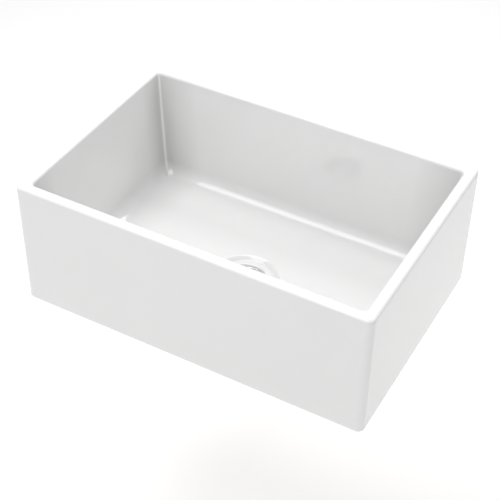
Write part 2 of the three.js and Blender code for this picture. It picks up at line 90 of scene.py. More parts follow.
@dataclass(frozen=True)
class Span:
    """Where a round CAD node lies: its axis, its outer radius and its heights."""

    x: float
    y: float
    radius: float
    low: float
    high: float

    @classmethod
    def of(cls, node: str) -> "Span":
        """Reads the span of a node that is turned about an upright axis.

        Args:
            node: The node's name.

        Returns:
            Its span.
        """
        low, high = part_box(node)
        return cls(
            x=(low.x + high.x) / 2,
            y=(low.y + high.y) / 2,
            radius=(high.x - low.x) / 2,
            low=low.z,
            high=high.z,
        )


def placed(node: str) -> Span:
    """A dataclass field that reads a node's span when its sub-assembly is made."""
    return field(default_factory=lambda: Span.of(node))


# --------------------------------------------------------------------- node-tree tools


class NodeTree:
    """What both kinds of node tree share: adding nodes, feeding sockets and arithmetic."""

    prefix = ""

    def __init__(self, tree: bpy.types.NodeTree) -> None:
        """Takes the tree that the nodes go into."""
        self.tree = tree

    def node(
        self, kind: str, links: dict[int | str, Feed] | None = None, **settings: object
    ) -> bpy.types.Node:
        """Adds a node.

        Args:
            kind: The node's type, without the prefix that this kind of tree gives it.
            links: Input name or index to a value or to the socket that feeds it.
            **settings: The node's own options.

        Returns:
            The new node.
        """
        made = self.tree.nodes.new(self.prefix + kind)
        for name, value in settings.items():
            setattr(made, name, value)
        for key, value in (links or {}).items():
            self.feed(made.inputs[key], value)
        return made

    def feed(self, socket: Socket, value: Feed) -> None:
        """Links a socket to another one, or sets it to a plain value.

        Args:
            socket: The input to feed.
            value: The output that feeds it, or its value.
        """
        if isinstance(value, Socket):
            self.tree.links.new(value, socket)
        else:
            socket.default_value = value

    def math(self, operation: str, first: Feed, second: Feed = 0.0) -> Socket:
        """One step of arithmetic.

        Args:
            operation: The Math node's operation.
            first: The first value.
            second: The second value, where the operation takes one.

        Returns:
            The result.
        """
        made = self.tree.nodes.new("ShaderNodeMath")
        made.operation = operation
        self.feed(made.inputs[0], first)
        self.feed(made.inputs[1], second)
        return made.outputs[0]


class ShaderTree(NodeTree):
    """A short way to write a material's nodes, ending in one Principled shader."""

    prefix = "ShaderNode"

    def __init__(self, name: str) -> None:
        """Makes an empty material whose surface is a Principled shader.

        Args:
            name: The material's name.
        """
        self.material = bpy.data.materials.new(name)
        self.material.use_nodes = True
        super().__init__(self.material.node_tree)
        self.tree.nodes.clear()
        self.shader = self.node("BsdfPrincipled")
        self.node("OutputMaterial", {"Surface": self.shader.outputs["BSDF"]})

    def place(self, centre: Triple = (0, 0, 0), scale: Triple = (1, 1, 1)) -> Socket:
        """The piece's own coordinates, measured from a centre and stretched.

        Args:
            centre: The point that becomes the pattern's origin.
            scale: How much the pattern is drawn together along each axis.

        Returns:
            The coordinates.
        """
        shift = Vector([-along * share for along, share in zip(centre, scale)])
        coordinates = self.node("TexCoord").outputs["Object"]
        mapping = self.node(
            "Mapping", {"Vector": coordinates, "Location": shift, "Scale": scale}
        )
        return mapping.outputs["Vector"]

    def noise(self, vector: Socket, pattern: "Pattern") -> Socket:
        """A noise value from 0 to 1.

        Args:
            vector: The coordinates that it is read at.
            pattern: Its scale and octaves.

        Returns:
            The value.
        """
        made = self.node("TexNoise", {
            "Vector": vector,
            "Scale": pattern.scale,
            "Detail": pattern.detail,
            "Roughness": pattern.roughness,
        })
        return made.outputs["Fac"]

    def span(
        self, value: Socket, low: float, high: float, start: float = 0.3, end: float = 0.7
    ) -> Socket:
        """Stretches a value from start..end to low..high, held at both ends.

        Args:
            value: The value to stretch.
            low: What it gives at start.
            high: What it gives at end.
            start: Where the range begins.
            end: Where the range ends.

        Returns:
            The stretched value.
        """
        given = {"Value": value, "From Min": start, "From Max": end}
        return self.node("MapRange", {**given, "To Min": low, "To Max": high}).outputs["Result"]

    def blend(self, factor: Socket, first: Color | Socket, second: Color | Socket) -> Socket:
        """Mixes two colours.

        Args:
            factor: The second colour's share.
            first: A plain colour, or the socket of one.
            second: The other colour, likewise.

        Returns:
            The mixed colour.
        """
        made = self.node("Mix", data_type="RGBA")
        for index, value in ((0, factor), (6, first), (7, second)):
            plain = isinstance(value, tuple)
            self.feed(made.inputs[index], (*value, 1.0) if plain else value)
        return made.outputs[2]

    def bump(self, value: Socket, pattern: "Pattern", below: Socket | None = None) -> Socket:
        """The relief of a pattern.

        Args:
            value: The pattern's value.
            pattern: Its height and strength.
            below: The relief that it lies on, if there is one.

        Returns:
            The turned normal.
        """
        inputs = {"Height": value, "Distance": pattern.height, "Strength": pattern.strength}
        made = self.node("Bump", inputs)
        if below is not None:
            self.feed(made.inputs["Normal"], below)
        return made.outputs["Normal"]

    def radius_and_turn(self, vector: Socket) -> tuple[Socket, Socket]:
        """Polar coordinates about the upright axis of a piece.

        Args:
            vector: Coordinates measured from that axis.

        Returns:
            The distance from the axis, and the turn about it in radians.
        """
        parts = self.node("SeparateXYZ", {"Vector": vector})
        x, y = parts.outputs["X"], parts.outputs["Y"]
        squares = self.math("ADD", self.math("POWER", x, 2.0), self.math("POWER", y, 2.0))
        return self.math("SQRT", squares), self.math("ARCTAN2", y, x)

    def finish(self, **values: Feed) -> bpy.types.Material:
        """Sets the shader's sockets.

        Args:
            **values: A value for each socket, named with underscores for spaces.

        Returns:
            The finished material.
        """
        for name, value in values.items():
            socket = self.shader.inputs[name.replace("_", " ")]
            self.feed(socket, (*value, 1.0) if isinstance(value, tuple) else value)
        return self.material


class ShapeTree(NodeTree):
    """A short way to write a Geometry Nodes tree with named inputs."""

    def __init__(self, name: str) -> None:
        """Makes a tree that takes a mesh and gives one back.

        Args:
            name: The tree's name.
        """
        super().__init__(bpy.data.node_groups.new(name, "GeometryNodeTree"))
        self.inputs: dict[str, str] = {}
        self.entry = self.node("NodeGroupInput")
        self.exit = self.node("NodeGroupOutput")
        for way in ("INPUT", "OUTPUT"):
            self.tree.interface.new_socket(
                "Mesh", in_out=way, socket_type="NodeSocketGeometry"
            )

    def input(self, name: str, kind: str = "Float") -> Socket:
        """Adds a named input.

        Args:
            name: The input's name.
            kind: Its socket's type, without the NodeSocket prefix.

        Returns:
            The socket that carries it.
        """
        made = self.tree.interface.new_socket(
            name, in_out="INPUT", socket_type="NodeSocket" + kind
        )
        self.inputs[name] = made.identifier
        return self.entry.outputs[name]

    def vector(self, x: Feed, y: Feed, z: Feed) -> Socket:
        """Three values as one vector."""
        return self.node("ShaderNodeCombineXYZ", {0: x, 1: y, 2: z}).outputs[0]

    def copies(self, count: Socket, places: Socket, tool: Socket, turns: Socket) -> Socket:
        """Copies of a tool, one on each of a number of points.

        Args:
            count: How many copies there are.
            places: Where each one stands.
            tool: What is copied.
            turns: How each one is turned.

        Returns:
            The copies as real meshes.
        """
        points = self.node("GeometryNodePoints", {"Count": count, "Position": places})
        inputs = {"Points": points.outputs[0], "Instance": tool, "Rotation": turns}
        placed = self.node("GeometryNodeInstanceOnPoints", inputs)
        real = self.node("GeometryNodeRealizeInstances", {"Geometry": placed.outputs[0]})
        return real.outputs[0]

    def combine(self, operation: str, tools: Socket) -> Socket:
        """Joins or cuts the tree's mesh with tools.

        Args:
            operation: UNION or DIFFERENCE.
            tools: The tools' meshes.

        Returns:
            The changed mesh.
        """
        made = self.node("GeometryNodeMeshBoolean", operation=operation, solver="EXACT")
        body_socket = 1 if operation == "UNION" else 0
        self.feed(made.inputs[body_socket], self.entry.outputs["Mesh"])
        self.feed(made.inputs[1], tools)
        return made.outputs[0]

    def close(self, mesh: Socket, material: Socket) -> None:
        """Ends the tree: instances become real, and the material is set.

        Args:
            mesh: The tree's result.
            material: The material that it gets.
        """
        real = self.node("GeometryNodeRealizeInstances", {"Geometry": mesh})
        inputs = {"Geometry": real.outputs[0], "Material": material}
        dressed = self.node("GeometryNodeSetMaterial", inputs)
        self.feed(self.exit.inputs[0], dressed.outputs[0])

    def apply(self, piece: bpy.types.Object, values: dict[str, object]) -> bpy.types.Object:
        """Runs the tree on a piece and keeps the result as its plain mesh.

        Args:
            piece: The object to change.
            values: A value for each named input.

        Returns:
            The same object, with its mesh replaced.
        """
        modifier = piece.modifiers.new(self.tree.name, "NODES")
        modifier.node_group = self.tree
        for name, value in values.items():
            modifier[self.inputs[name]] = value
        result = evaluated_mesh(piece)
        piece.modifiers.remove(modifier)
        piece.data = result
        return piece


# ------------------------------------------------------------------------ mesh tools


def evaluated_mesh(piece: bpy.types.Object) -> bpy.types.Mesh:
    """A new plain mesh of a piece as its modifiers leave it."""
    graph = bpy.context.evaluated_depsgraph_get()
    return bpy.data.meshes.new_from_object(piece.evaluated_get(graph), depsgraph=graph)


def new_piece(name: str, data: bpy.types.ID) -> bpy.types.Object:
    """Puts a mesh, a curve, a light or a camera into the scene as an object at the origin.

    Args:
        name: The object's name.
        data: What it shows.

    Returns:
        The object.
    """
    piece = bpy.data.objects.new(name, data)
    bpy.context.scene.collection.objects.link(piece)
    return piece


def smooth(piece: bpy.types.Object, angle: float = SHARP_ANGLE) -> bpy.types.Object:
    """Shades a piece smooth, with a sharp edge wherever two faces turn by more.

    Args:
        piece: The piece to shade.
        angle: The least turn of a sharp edge, in radians.

    Returns:
        The same piece.
    """
    work = bmesh.new()
    work.from_mesh(piece.data)
    bmesh.ops.remove_doubles(work, verts=work.verts, dist=WELD / 10)
    for face in work.faces:
        face.smooth = True
    for edge in work.edges:
        edge.smooth = len(edge.link_faces) == 2 and edge.calc_face_angle(0.0) < angle
    work.to_mesh(piece.data)
    work.free()
    return piece


def skinned(name: str, rows: Sequence[Sequence[Vector]]) -> bpy.types.Object:
    """Skins rows of points that close on themselves, the last row meeting the first.

    Args:
        name: The piece's name.
        rows: Closed loops of points, all as long as each other.

    Returns:
        A closed piece with its faces pointing out.
    """
    work = bmesh.new()
    grid = [[work.verts.new(point) for point in row] for row in rows]
    size = len(rows[0])
    for here, after in zip(grid, grid[1:] + grid[:1]):
        for i in range(size):
            j = (i + 1) % size
            work.faces.new((here[i], here[j], after[j], after[i]))
    bmesh.ops.remove_doubles(work, verts=work.verts, dist=WELD)
    bmesh.ops.dissolve_degenerate(work, edges=work.edges, dist=WELD)
    bmesh.ops.recalc_face_normals(work, faces=work.faces)
    if work.calc_volume(signed=True) < 0:
        bmesh.ops.reverse_faces(work, faces=work.faces)
    mesh = bpy.data.meshes.new(name)
    work.to_mesh(mesh)
    work.free()
    return smooth(new_piece(name, mesh))


@dataclass(frozen=True)
class Corner:
    """One corner of a turned profile, rounded by a fillet."""

    radius: float
    z: float
    fillet: float = 0.0


def fillet_points(before: Vector, corner: Vector, after: Vector, radius: float) -> list[Point]:
    """Points of the arc that rounds a corner, with a support point on either side.

    Args:
        before: The corner before it.
        corner: The corner itself.
        after: The corner after it.
        radius: The fillet's radius.

    Returns:
        The arc's points, or the corner alone where there is no fillet.
    """
    inward, outward = (before - corner), (after - corner)
    opening = inward.angle(outward, math.pi)
    if radius <= 0 or opening > NEARLY_STRAIGHT:
        return [tuple(corner)]
    reach = radius / math.tan(opening / 2)
    room = SIDE_SHARE * min(inward.length, outward.length)
    if reach > room:
        reach, radius = room, room * math.tan(opening / 2)
    towards = (inward.normalized() + outward.normalized()).normalized()
    centre = corner + towards * (radius / math.sin(opening / 2))
    start = corner + inward.normalized() * reach - centre
    sweep = math.pi - opening
    turn = math.copysign(sweep, start.x * (corner - centre).y - start.y * (corner - centre).x)
    points = []
    for step in range(FILLET_STEPS + 1):
        angle = turn * step / FILLET_STEPS
        points.append((
            centre.x + start.x * math.cos(angle) - start.y * math.sin(angle),
            centre.y + start.x * math.sin(angle) + start.y * math.cos(angle),
        ))
    return points


def rounded(corners: Sequence[Corner], support: float = 0.00025) -> list[Point]:
    """Rounds a closed profile's corners and adds support points beside the fillets.

    Args:
        corners: The profile's corners in order.
        support: How far from a fillet its support points lie, which keeps flats flat.

    Returns:
        The profile as (radius, z) points.
    """
    places = [Vector((corner.radius, corner.z)) for corner in corners]
    arcs = [
        fillet_points(places[i - 1], places[i], places[(i + 1) % len(places)], corners[i].fillet)
        for i in range(len(places))
    ]
    points: list[Point] = []
    for i, run in enumerate(arcs):
        points.extend(run)
        start, end = Vector(run[-1]), Vector(arcs[(i + 1) % len(arcs)][0])
        gap = end - start
        if gap.length > 3 * support:
            points.append(tuple(start + gap.normalized() * support))
            points.append(tuple(end - gap.normalized() * support))
    return points


def turned(
    name: str,
    profile: Sequence[Point],
    axis: Span,
    steps: int = ROUND_STEPS,
) -> bpy.types.Object:
    """Turns a closed (radius, z) profile about a node's upright axis.

    Args:
        name: The piece's name.
        profile: The profile's points in order.
        axis: The node that gives the axis.
        steps: How many steps go round.

    Returns:
        The piece.
    """
    turns = [FULL_TURN * i / steps for i in range(steps)]
    rows = [
        [
            Vector((axis.x + radius * math.cos(a), axis.y + radius * math.sin(a), z))
            for a in turns
        ]
        for radius, z in profile
    ]
    return skinned(name, rows)


def spaced(start: float, end: float, pitch: float) -> list[float]:
    """Evenly spaced values from start to end, about a pitch apart."""
    count = max(1, round(abs(end - start) / pitch))
    return [start + (end - start) * i / count for i in range(count + 1)]


def flat_blank(
    name: str,
    outlines: Iterable[Sequence[Point]],
    axis: Span,
    edge: float,
) -> bpy.types.Object:
    """A flat plate cut to outlines, with softly rounded edges.

    Args:
        name: The piece's name.
        outlines: The outer outline and any holes, as (x, y) about the axis.
        axis: The node that gives the plate's axis and its two faces.
        edge: The radius of its rounded edges.

    Returns:
        The plate as a plain mesh.
    """
    curve = bpy.data.curves.new(name, "CURVE")
    curve.dimensions = "2D"
    curve.fill_mode = "BOTH"
    curve.extrude = (axis.high - axis.low) / 2 - edge
    curve.bevel_depth = edge
    curve.bevel_resolution = 2
    curve.offset = -edge
    for outline in outlines:
        spline = curve.splines.new("POLY")
        spline.points.add(len(outline) - 1)
        for point, (x, y) in zip(spline.points, outline):
            point.co = (x, y, 0, 1)
        spline.use_cyclic_u = True
    holder = new_piece(name + "_outline", curve)
    mesh = evaluated_mesh(holder)
    bpy.data.objects.remove(holder)
    mesh.transform(Matrix.Translation((axis.x, axis.y, (axis.low + axis.high) / 2)))
    return smooth(new_piece(name, mesh))


def circle(radius: float, steps: int, start: float = 0.0) -> list[Point]:
    """Points round a circle."""
    turns = [start + FULL_TURN * i / steps for i in range(steps)]
    return [(radius * math.cos(a), radius * math.sin(a)) for a in turns]


def arc(centre: Point, radius: float, start: float, end: float, steps: int) -> list[Point]:
    """Points of an arc about a centre, from one angle to another, in radians."""
    turns = [start + (end - start) * i / steps for i in range(steps + 1)]
    return [(centre[0] + radius * math.cos(a), centre[1] + radius * math.sin(a)) for a in turns]


def box_piece(name: str, low: Vector, high: Vector) -> bpy.types.Object:
    """A plain block, used only as a cutter.

    Args:
        name: The block's name.
        low: Its lowest corner.
        high: Its highest corner.

    Returns:
        The block.
    """
    work = bmesh.new()
    bmesh.ops.create_cube(work, size=1.0)
    size = high - low
    centre = (high + low) / 2
    bmesh.ops.transform(
        work, matrix=Matrix.Translation(centre) @ Matrix.Diagonal((*size, 1)), verts=work.verts
    )
    mesh = bpy.data.meshes.new(name)
    work.to_mesh(mesh)
    work.free()
    return new_piece(name, mesh)


# ------------------------------------------------------------------ repeated features

THREAD_STEEPNESS = 2.6  # how much faster than the phase a groove's side rises
PUNCH_LENGTH = 0.006


def thread_tree() -> ShapeTree:
    """A screw thread, rolled into whatever wall lies between two heights.

    Each point outside a given radius sinks towards the axis by a depth that rises and
    falls once in each pitch, along a helix, and fades out at both ends.

    Returns:
        The tree.
    """
    shape = ShapeTree("screw_thread")
    calc = shape.math
    centre_x, centre_y = shape.input("Axis X"), shape.input("Axis Y")
    pitch, depth = shape.input("Pitch"), shape.input("Depth")
    low, high = shape.input("Low"), shape.input("High")
    least = shape.input("Least Radius")
    material = shape.input("Material", "Material")
    position = shape.node("GeometryNodeInputPosition").outputs[0]
    place = shape.node("ShaderNodeSeparateXYZ", {0: position})
    x = calc("SUBTRACT", place.outputs[0], centre_x)
    y = calc("SUBTRACT", place.outputs[1], centre_y)
    z = place.outputs[2]
    radius = calc("SQRT", calc("ADD", calc("MULTIPLY", x, x), calc("MULTIPLY", y, y)))
    turn = calc("DIVIDE", calc("ARCTAN2", y, x), FULL_TURN)
    phase = calc("FRACT", calc("SUBTRACT", calc("DIVIDE", z, pitch), turn))
    centred = calc("ABSOLUTE", calc("SUBTRACT", phase, 0.5))
    groove = calc("MINIMUM", calc("MULTIPLY", centred, THREAD_STEEPNESS), 1.0)
    outside = calc("GREATER_THAN", radius, least)
    rise, fall = (
        shape.node("ShaderNodeClamp", {0: calc("DIVIDE", calc("SUBTRACT", *ends), pitch)})
        for ends in ((z, low), (high, z))
    )
    fade = calc("MULTIPLY", rise.outputs[0], fall.outputs[0])
    sink = calc("MULTIPLY", calc("MULTIPLY", groove, depth), calc("MULTIPLY", fade, outside))
    share = calc("DIVIDE", calc("MULTIPLY", sink, -1.0), radius)
    offset = shape.vector(calc("MULTIPLY", x, share), calc("MULTIPLY", y, share), 0.0)
    inputs = {"Geometry": shape.entry.outputs["Mesh"], "Offset": offset}
    moved = shape.node("GeometryNodeSetPosition", inputs)
    shape.close(moved.outputs[0], material)
    return shape


def ring_tree(operation: str) -> ShapeTree:
    """Copies a tool round an upright axis, and joins or cuts the piece with the copies.

    Args:
        operation: UNION for lugs, or DIFFERENCE for slots and windows.

    Returns:
        The tree.
    """
    shape = ShapeTree("ring_" + operation.lower())
    tool = shape.input("Tool", "Object")
    count = shape.input("Count", "Int")
    centre = shape.input("Centre", "Vector")
    material = shape.input("Material", "Material")
    index = shape.node("GeometryNodeInputIndex").outputs[0]
    turn = shape.math("MULTIPLY", shape.math("DIVIDE", index, count), FULL_TURN)
    info = shape.node("GeometryNodeObjectInfo", {"Object": tool})
    turns = shape.vector(0.0, 0.0, turn)
    tools = shape.copies(count, centre, info.outputs["Geometry"], turns)
    shape.close(shape.combine(operation, tools), material)
    return shape


def perforation_tree() -> ShapeTree:
    """Rows of round holes, punched through a cup's wall or ring by ring through its floor.

    Row r lies at a radius and height that step evenly from the first row's, and each row
    is turned by half a pitch from the last. A punch leans by a given angle: a right angle
    for a wall, none for a floor.

    Returns:
        The tree.
    """
    shape = ShapeTree("perforations")
    calc = shape.math
    per_row, rows = shape.input("Per Row", "Int"), shape.input("Rows", "Int")
    radius, height = shape.input("Radius"), shape.input("Height")
    radius_step, height_step = shape.input("Radius Step"), shape.input("Height Step")
    start, lean = shape.input("Start"), shape.input("Lean")
    hole, sides = shape.input("Hole Radius"), shape.input("Sides", "Int")
    centre_x, centre_y = shape.input("Axis X"), shape.input("Axis Y")
    material = shape.input("Material", "Material")
    index = shape.node("GeometryNodeInputIndex").outputs[0]
    row = calc("FLOOR", calc("DIVIDE", calc("ADD", index, 0.5), per_row))
    slot = calc("ADD", index, calc("MULTIPLY", row, 0.5))
    turn = calc("ADD", calc("MULTIPLY", slot, calc("DIVIDE", FULL_TURN, per_row)), start)
    reach = calc("ADD", radius, calc("MULTIPLY", row, radius_step))
    places = shape.vector(
        calc("ADD", centre_x, calc("MULTIPLY", reach, calc("COSINE", turn))),
        calc("ADD", centre_y, calc("MULTIPLY", reach, calc("SINE", turn))),
        calc("ADD", height, calc("MULTIPLY", row, height_step)),
    )
    inputs = {"Vertices": sides, "Radius": hole, "Depth": PUNCH_LENGTH}
    punch = shape.node("GeometryNodeMeshCylinder", inputs).outputs[0]
    # A point's index is its copy's too, so the same turn places the point and turns the punch.
    turns = shape.vector(0.0, lean, turn)
    punches = shape.copies(calc("MULTIPLY", per_row, rows), places, punch, turns)
    shape.close(shape.combine("DIFFERENCE", punches), material)
    return shape


@dataclass(frozen=True)
class Thread:
    """A screw thread's sizes, and how it is rolled into a turned wall."""

    pitch: float
    depth: float
    rows_per_pitch: int = 8
    skin: float = 0.0001

    def wall(self, radius: float, low: float, high: float) -> list[Point]:
        """The close rows of points that the wall of a thread needs."""
        return [(radius, z) for z in spaced(low, high, self.pitch / self.rows_per_pitch)]

    def roll(
        self,
        piece: bpy.types.Object,
        tree: ShapeTree,
        axis: Span,
        radius: float,
        ends: tuple[float, float],
        material: bpy.types.Material,
    ) -> None:
        """Rolls the thread into a piece.

        Args:
            piece: The piece.
            tree: The thread's tree.
            axis: The node that gives the axis.
            radius: The threaded wall's outside.
            ends: The thread's lowest and highest points.
            material: The piece's material.
        """
        tree.apply(piece, {
            "Axis X": axis.x,
            "Axis Y": axis.y,
            "Pitch": self.pitch,
            "Depth": self.depth,
            "Low": ends[0],
            "High": ends[1],
            "Least Radius": radius - self.skin,
            "Material": material,
        })


# --------------------------------------------------------------------------- finishes


class Grain(Enum):
    """How a metal piece was worked; the value draws its fine lines out along their run."""

    TURNED = 0.0006
    DRAWN = 0.02
    PRESSED = 0.004


@dataclass(frozen=True)
class Pattern:
    """A noise pattern of a finish: its cycles per metre, its octaves and its relief."""

    scale: float
    detail: float = 3.0
    roughness: float = 0.5
    height: float = 0.0
    strength: float = 0.5


def toned(color: Color, share: float) -> Color:
    """A colour made darker or lighter by a share."""
    return tuple(min(1.0, channel * share) for channel in color)


@dataclass(frozen=True)
class Glaze:
    """White gloss glaze over fireclay: even, with a faint waviness from the kiln, and with a
    painted highlight and painted shade on the basin's rim edges and upright corners.
    """

    name: str = "white_glaze"
    color: Color = (0.80, 0.80, 0.798)
    # A paler colour for the painted highlight on the rim's edges and down the well's corners.
    painted_highlight_color: Color = (0.90, 0.898, 0.893)
    # A darker colour for the painted shade beside the well's corners.
    painted_shade_color: Color = (0.66, 0.66, 0.657)
    cloud: Pattern = Pattern(7.0, 4.0, 0.6)
    cloud_tone: float = 0.985
    # How much the cloud varies the painted highlight.
    painted_highlight_spread: tuple[float, float] = (0.8, 1.0)
    gloss: Pattern = Pattern(35.0, 4.0)
    roughness: tuple[float, float] = (0.056, 0.105)
    wave: Pattern = Pattern(11.0, 1.0, height=0.0006, strength=0.35)
    peel: Pattern = Pattern(420.0, 2.0, height=0.00002)
    ior: float = 1.5
    top_gloss: float = 0.3
    top_roughness: float = 0.03

    def build(self) -> bpy.types.Material:
        """Builds the material, which paints a highlight and shade where the marks that the basin
        leaves in its mesh say.

        Returns:
            The material.
        """
        tree = ShaderTree(self.name)
        place = tree.place()
        cloud = tree.noise(place, self.cloud)
        # Masks for the painted highlight and the painted shade.
        edge = tree.node("Attribute", attribute_name=PAINTED_HIGHLIGHT_MARK).outputs["Fac"]
        hollow = tree.node("Attribute", attribute_name=SHADE_MARK).outputs["Fac"]
        # The painted highlight's share at each point.
        thin = tree.math("MULTIPLY", edge, tree.span(cloud, *self.painted_highlight_spread))
        base = tree.blend(
            tree.span(cloud, 0.0, 1.0), self.color, toned(self.color, self.cloud_tone)
        )
        # The glaze colour with the painted shade mixed in.
        shaded = tree.blend(hollow, base, self.painted_shade_color)
        wave = tree.bump(tree.noise(place, self.wave), self.wave)
        return tree.finish(
            Base_Color=tree.blend(thin, shaded, self.painted_highlight_color),
            Roughness=tree.span(tree.noise(place, self.gloss), *self.roughness),
            Normal=tree.bump(tree.noise(place, self.peel), self.peel, below=wave),
            IOR=self.ior,
            Coat_Weight=self.top_gloss,
            Coat_Roughness=self.top_roughness,
        )


@dataclass(frozen=True)
class WhiteCoat:
    """Baked white enamel on the strainer's flange, to match the glaze round it."""

    name: str = "white_coat"
    color: Color = (0.79, 0.79, 0.786)
    cloud: Pattern = Pattern(60.0)
    cloud_tone: float = 0.97
    roughness: tuple[float, float] = (0.096, 0.156)
    grit: Pattern = Pattern(900.0, 2.0, height=0.00001)
    ior: float = 1.5
    top_gloss: float = 0.2

    def build(self) -> bpy.types.Material:
        """Builds the material.

        Returns:
            The material.
        """
        tree = ShaderTree(self.name)
        place = tree.place()
        cloud = tree.noise(place, self.cloud)
        return tree.finish(
            Base_Color=tree.blend(cloud, self.color, toned(self.color, self.cloud_tone)),
            Roughness=tree.span(cloud, *self.roughness),
            Normal=tree.bump(tree.noise(place, self.grit), self.grit),
            IOR=self.ior,
            Coat_Weight=self.top_gloss,
        )


@dataclass(frozen=True)
class BareClay:
    """Unglazed fired clay, as on the basin's foot."""

    name: str = "bare_fireclay"
    color: Color = (0.62, 0.56, 0.46)
    speck: Color = (0.34, 0.27, 0.2)
    cloud: Pattern = Pattern(18.0, 5.0, 0.65, 0.0012, 0.4)
    cloud_tone: float = 1.18
    grog: Pattern = Pattern(900.0, 2.0, 0.6, 0.00025, 0.7)
    speck_share: float = 0.75
    speck_range: tuple[float, float] = (0.66, 0.74)
    roughness: float = 0.88
    ior: float = 1.45

    def build(self) -> bpy.types.Material:
        """Builds the material.

        Returns:
            The material.
        """
        tree = ShaderTree(self.name)
        place = tree.place()
        cloud = tree.noise(place, self.cloud)
        grog = tree.noise(place, self.grog)
        base = tree.blend(cloud, self.color, toned(self.color, self.cloud_tone))
        specks = tree.span(grog, 0.0, self.speck_share, *self.speck_range)
        return tree.finish(
            Base_Color=tree.blend(specks, base, self.speck),
            Roughness=self.roughness,
            Normal=tree.bump(grog, self.grog, below=tree.bump(cloud, self.cloud)),
            IOR=self.ior,
        )


@dataclass(frozen=True)
class Steel:
    """Stainless steel with fine lines left by turning, drawing or pressing."""

    name: str
    color: Color
    roughness: float
    grain: Grain
    lines: Pattern = Pattern(5200.0, 3.0, 0.7, 0.000004, 0.6)
    smudge: Pattern = Pattern(60.0, 4.0, 0.6)
    smudge_tone: float = 0.93
    line_spread: tuple[float, float] = (0.7, 1.3)
    smudge_spread: tuple[float, float] = (-0.02, 0.05)

    def build(self, centre: Vector) -> bpy.types.Material:
        """Builds the material about a piece's upright axis.

        Args:
            centre: A point of the axis.

        Returns:
            The material.
        """
        tree = ShaderTree(self.name)
        place = tree.place(centre)
        radius, turn = tree.radius_and_turn(place)
        height = tree.node("SeparateXYZ", {"Vector": place}).outputs["Z"]
        if self.grain is Grain.DRAWN:
            across, along = tree.math("MULTIPLY", turn, self.grain.value), height
        else:
            across, along = tree.math("ADD", radius, height), turn
        stretched = tree.math("MULTIPLY", along, self.grain.value)
        lines_at = tree.node("CombineXYZ", {"X": across, "Y": stretched}).outputs["Vector"]
        lines = tree.noise(lines_at, self.lines)
        smudge = tree.noise(place, self.smudge)
        fine = tree.span(lines, *(self.roughness * share for share in self.line_spread))
        broad = tree.span(smudge, *self.smudge_spread)
        dull = toned(self.color, self.smudge_tone)
        return tree.finish(
            Base_Color=tree.blend(tree.span(smudge, 0.0, 1.0), self.color, dull),
            Metallic=1.0,
            Roughness=tree.math("ADD", fine, broad),
            Normal=tree.bump(lines, self.lines),
        )


@dataclass(frozen=True)
class CastZinc:
    """Dull die-cast zinc: a fine grain, soft blotches and brighter rubbed edges."""

    name: str = "cast_zinc"
    color: Color = (0.47, 0.48, 0.49)
    dark: Color = (0.27, 0.275, 0.285)
    cloud: Pattern = Pattern(130.0, 5.0, 0.65, 0.0001, 0.4)
    grain: Pattern = Pattern(1600.0, 3.0, 0.6, 0.00006, 0.6)
    roughness: tuple[float, float] = (0.38, 0.6)
    rubbed_tone: float = 1.5
    rubbed_share: float = 0.6
    edge_range: tuple[float, float] = (0.52, 0.58)

    def build(self) -> bpy.types.Material:
        """Builds the material.

        Returns:
            The material.
        """
        tree = ShaderTree(self.name)
        place = tree.place()
        cloud = tree.noise(place, self.cloud)
        grain = tree.noise(place, self.grain)
        edge = tree.node("NewGeometry").outputs["Pointiness"]
        rubbed = tree.span(edge, 0.0, self.rubbed_share, *self.edge_range)
        base = tree.blend(tree.span(cloud, 0.0, 1.0), self.dark, self.color)
        return tree.finish(
            Base_Color=tree.blend(rubbed, base, toned(self.color, self.rubbed_tone)),
            Metallic=1.0,
            Roughness=tree.span(cloud, *self.roughness),
            Normal=tree.bump(grain, self.grain, below=tree.bump(cloud, self.cloud)),
        )


@dataclass(frozen=True)
class Rubber:
    """Moulded black rubber with a greyish bloom."""

    name: str = "black_rubber"
    color: Color = (0.018, 0.018, 0.019)
    bloom: Color = (0.075, 0.075, 0.078)
    cloud: Pattern = Pattern(90.0, 5.0, 0.7)
    bloom_range: tuple[float, float] = (0.4, 0.72)
    grain: Pattern = Pattern(2400.0, 2.0, height=0.00003, strength=0.6)
    roughness: tuple[float, float] = (0.5, 0.72)
    ior: float = 1.5

    def build(self) -> bpy.types.Material:
        """Builds the material.

        Returns:
            The material.
        """
        tree = ShaderTree(self.name)
        place = tree.place()
        cloud = tree.noise(place, self.cloud)
        bloom = tree.span(cloud, 0.0, 1.0, *self.bloom_range)
        return tree.finish(
            Base_Color=tree.blend(bloom, self.color, self.bloom),
            Roughness=tree.span(cloud, *self.roughness),
            Normal=tree.bump(tree.noise(place, self.grain), self.grain),
            IOR=self.ior,
        )


@dataclass(frozen=True)
class Fibre:
    """Pressed brown fibre board."""

    name: str = "pressed_fibre"
    color: Color = (0.36, 0.25, 0.14)
    strand: Color = (0.55, 0.43, 0.28)
    strands: Pattern = Pattern(900.0, height=0.00012, strength=0.7)
    strand_range: tuple[float, float] = (0.5, 0.68)
    stretch: float = 0.2
    roughness: float = 0.9

    def build(self) -> bpy.types.Material:
        """Builds the material.

        Returns:
            The material.
        """
        tree = ShaderTree(self.name)
        long_way, cross_way = (
            tree.noise(tree.place(scale=scale), self.strands)
            for scale in ((1.0, self.stretch, 1.0), (self.stretch, 1.0, 1.0))
        )
        strands = tree.math("MAXIMUM", long_way, cross_way)
        shown = tree.span(strands, 0.0, 1.0, *self.strand_range)
        return tree.finish(
            Base_Color=tree.blend(shown, self.color, self.strand),
            Roughness=self.roughness,
            Normal=tree.bump(strands, self.strands),
        )


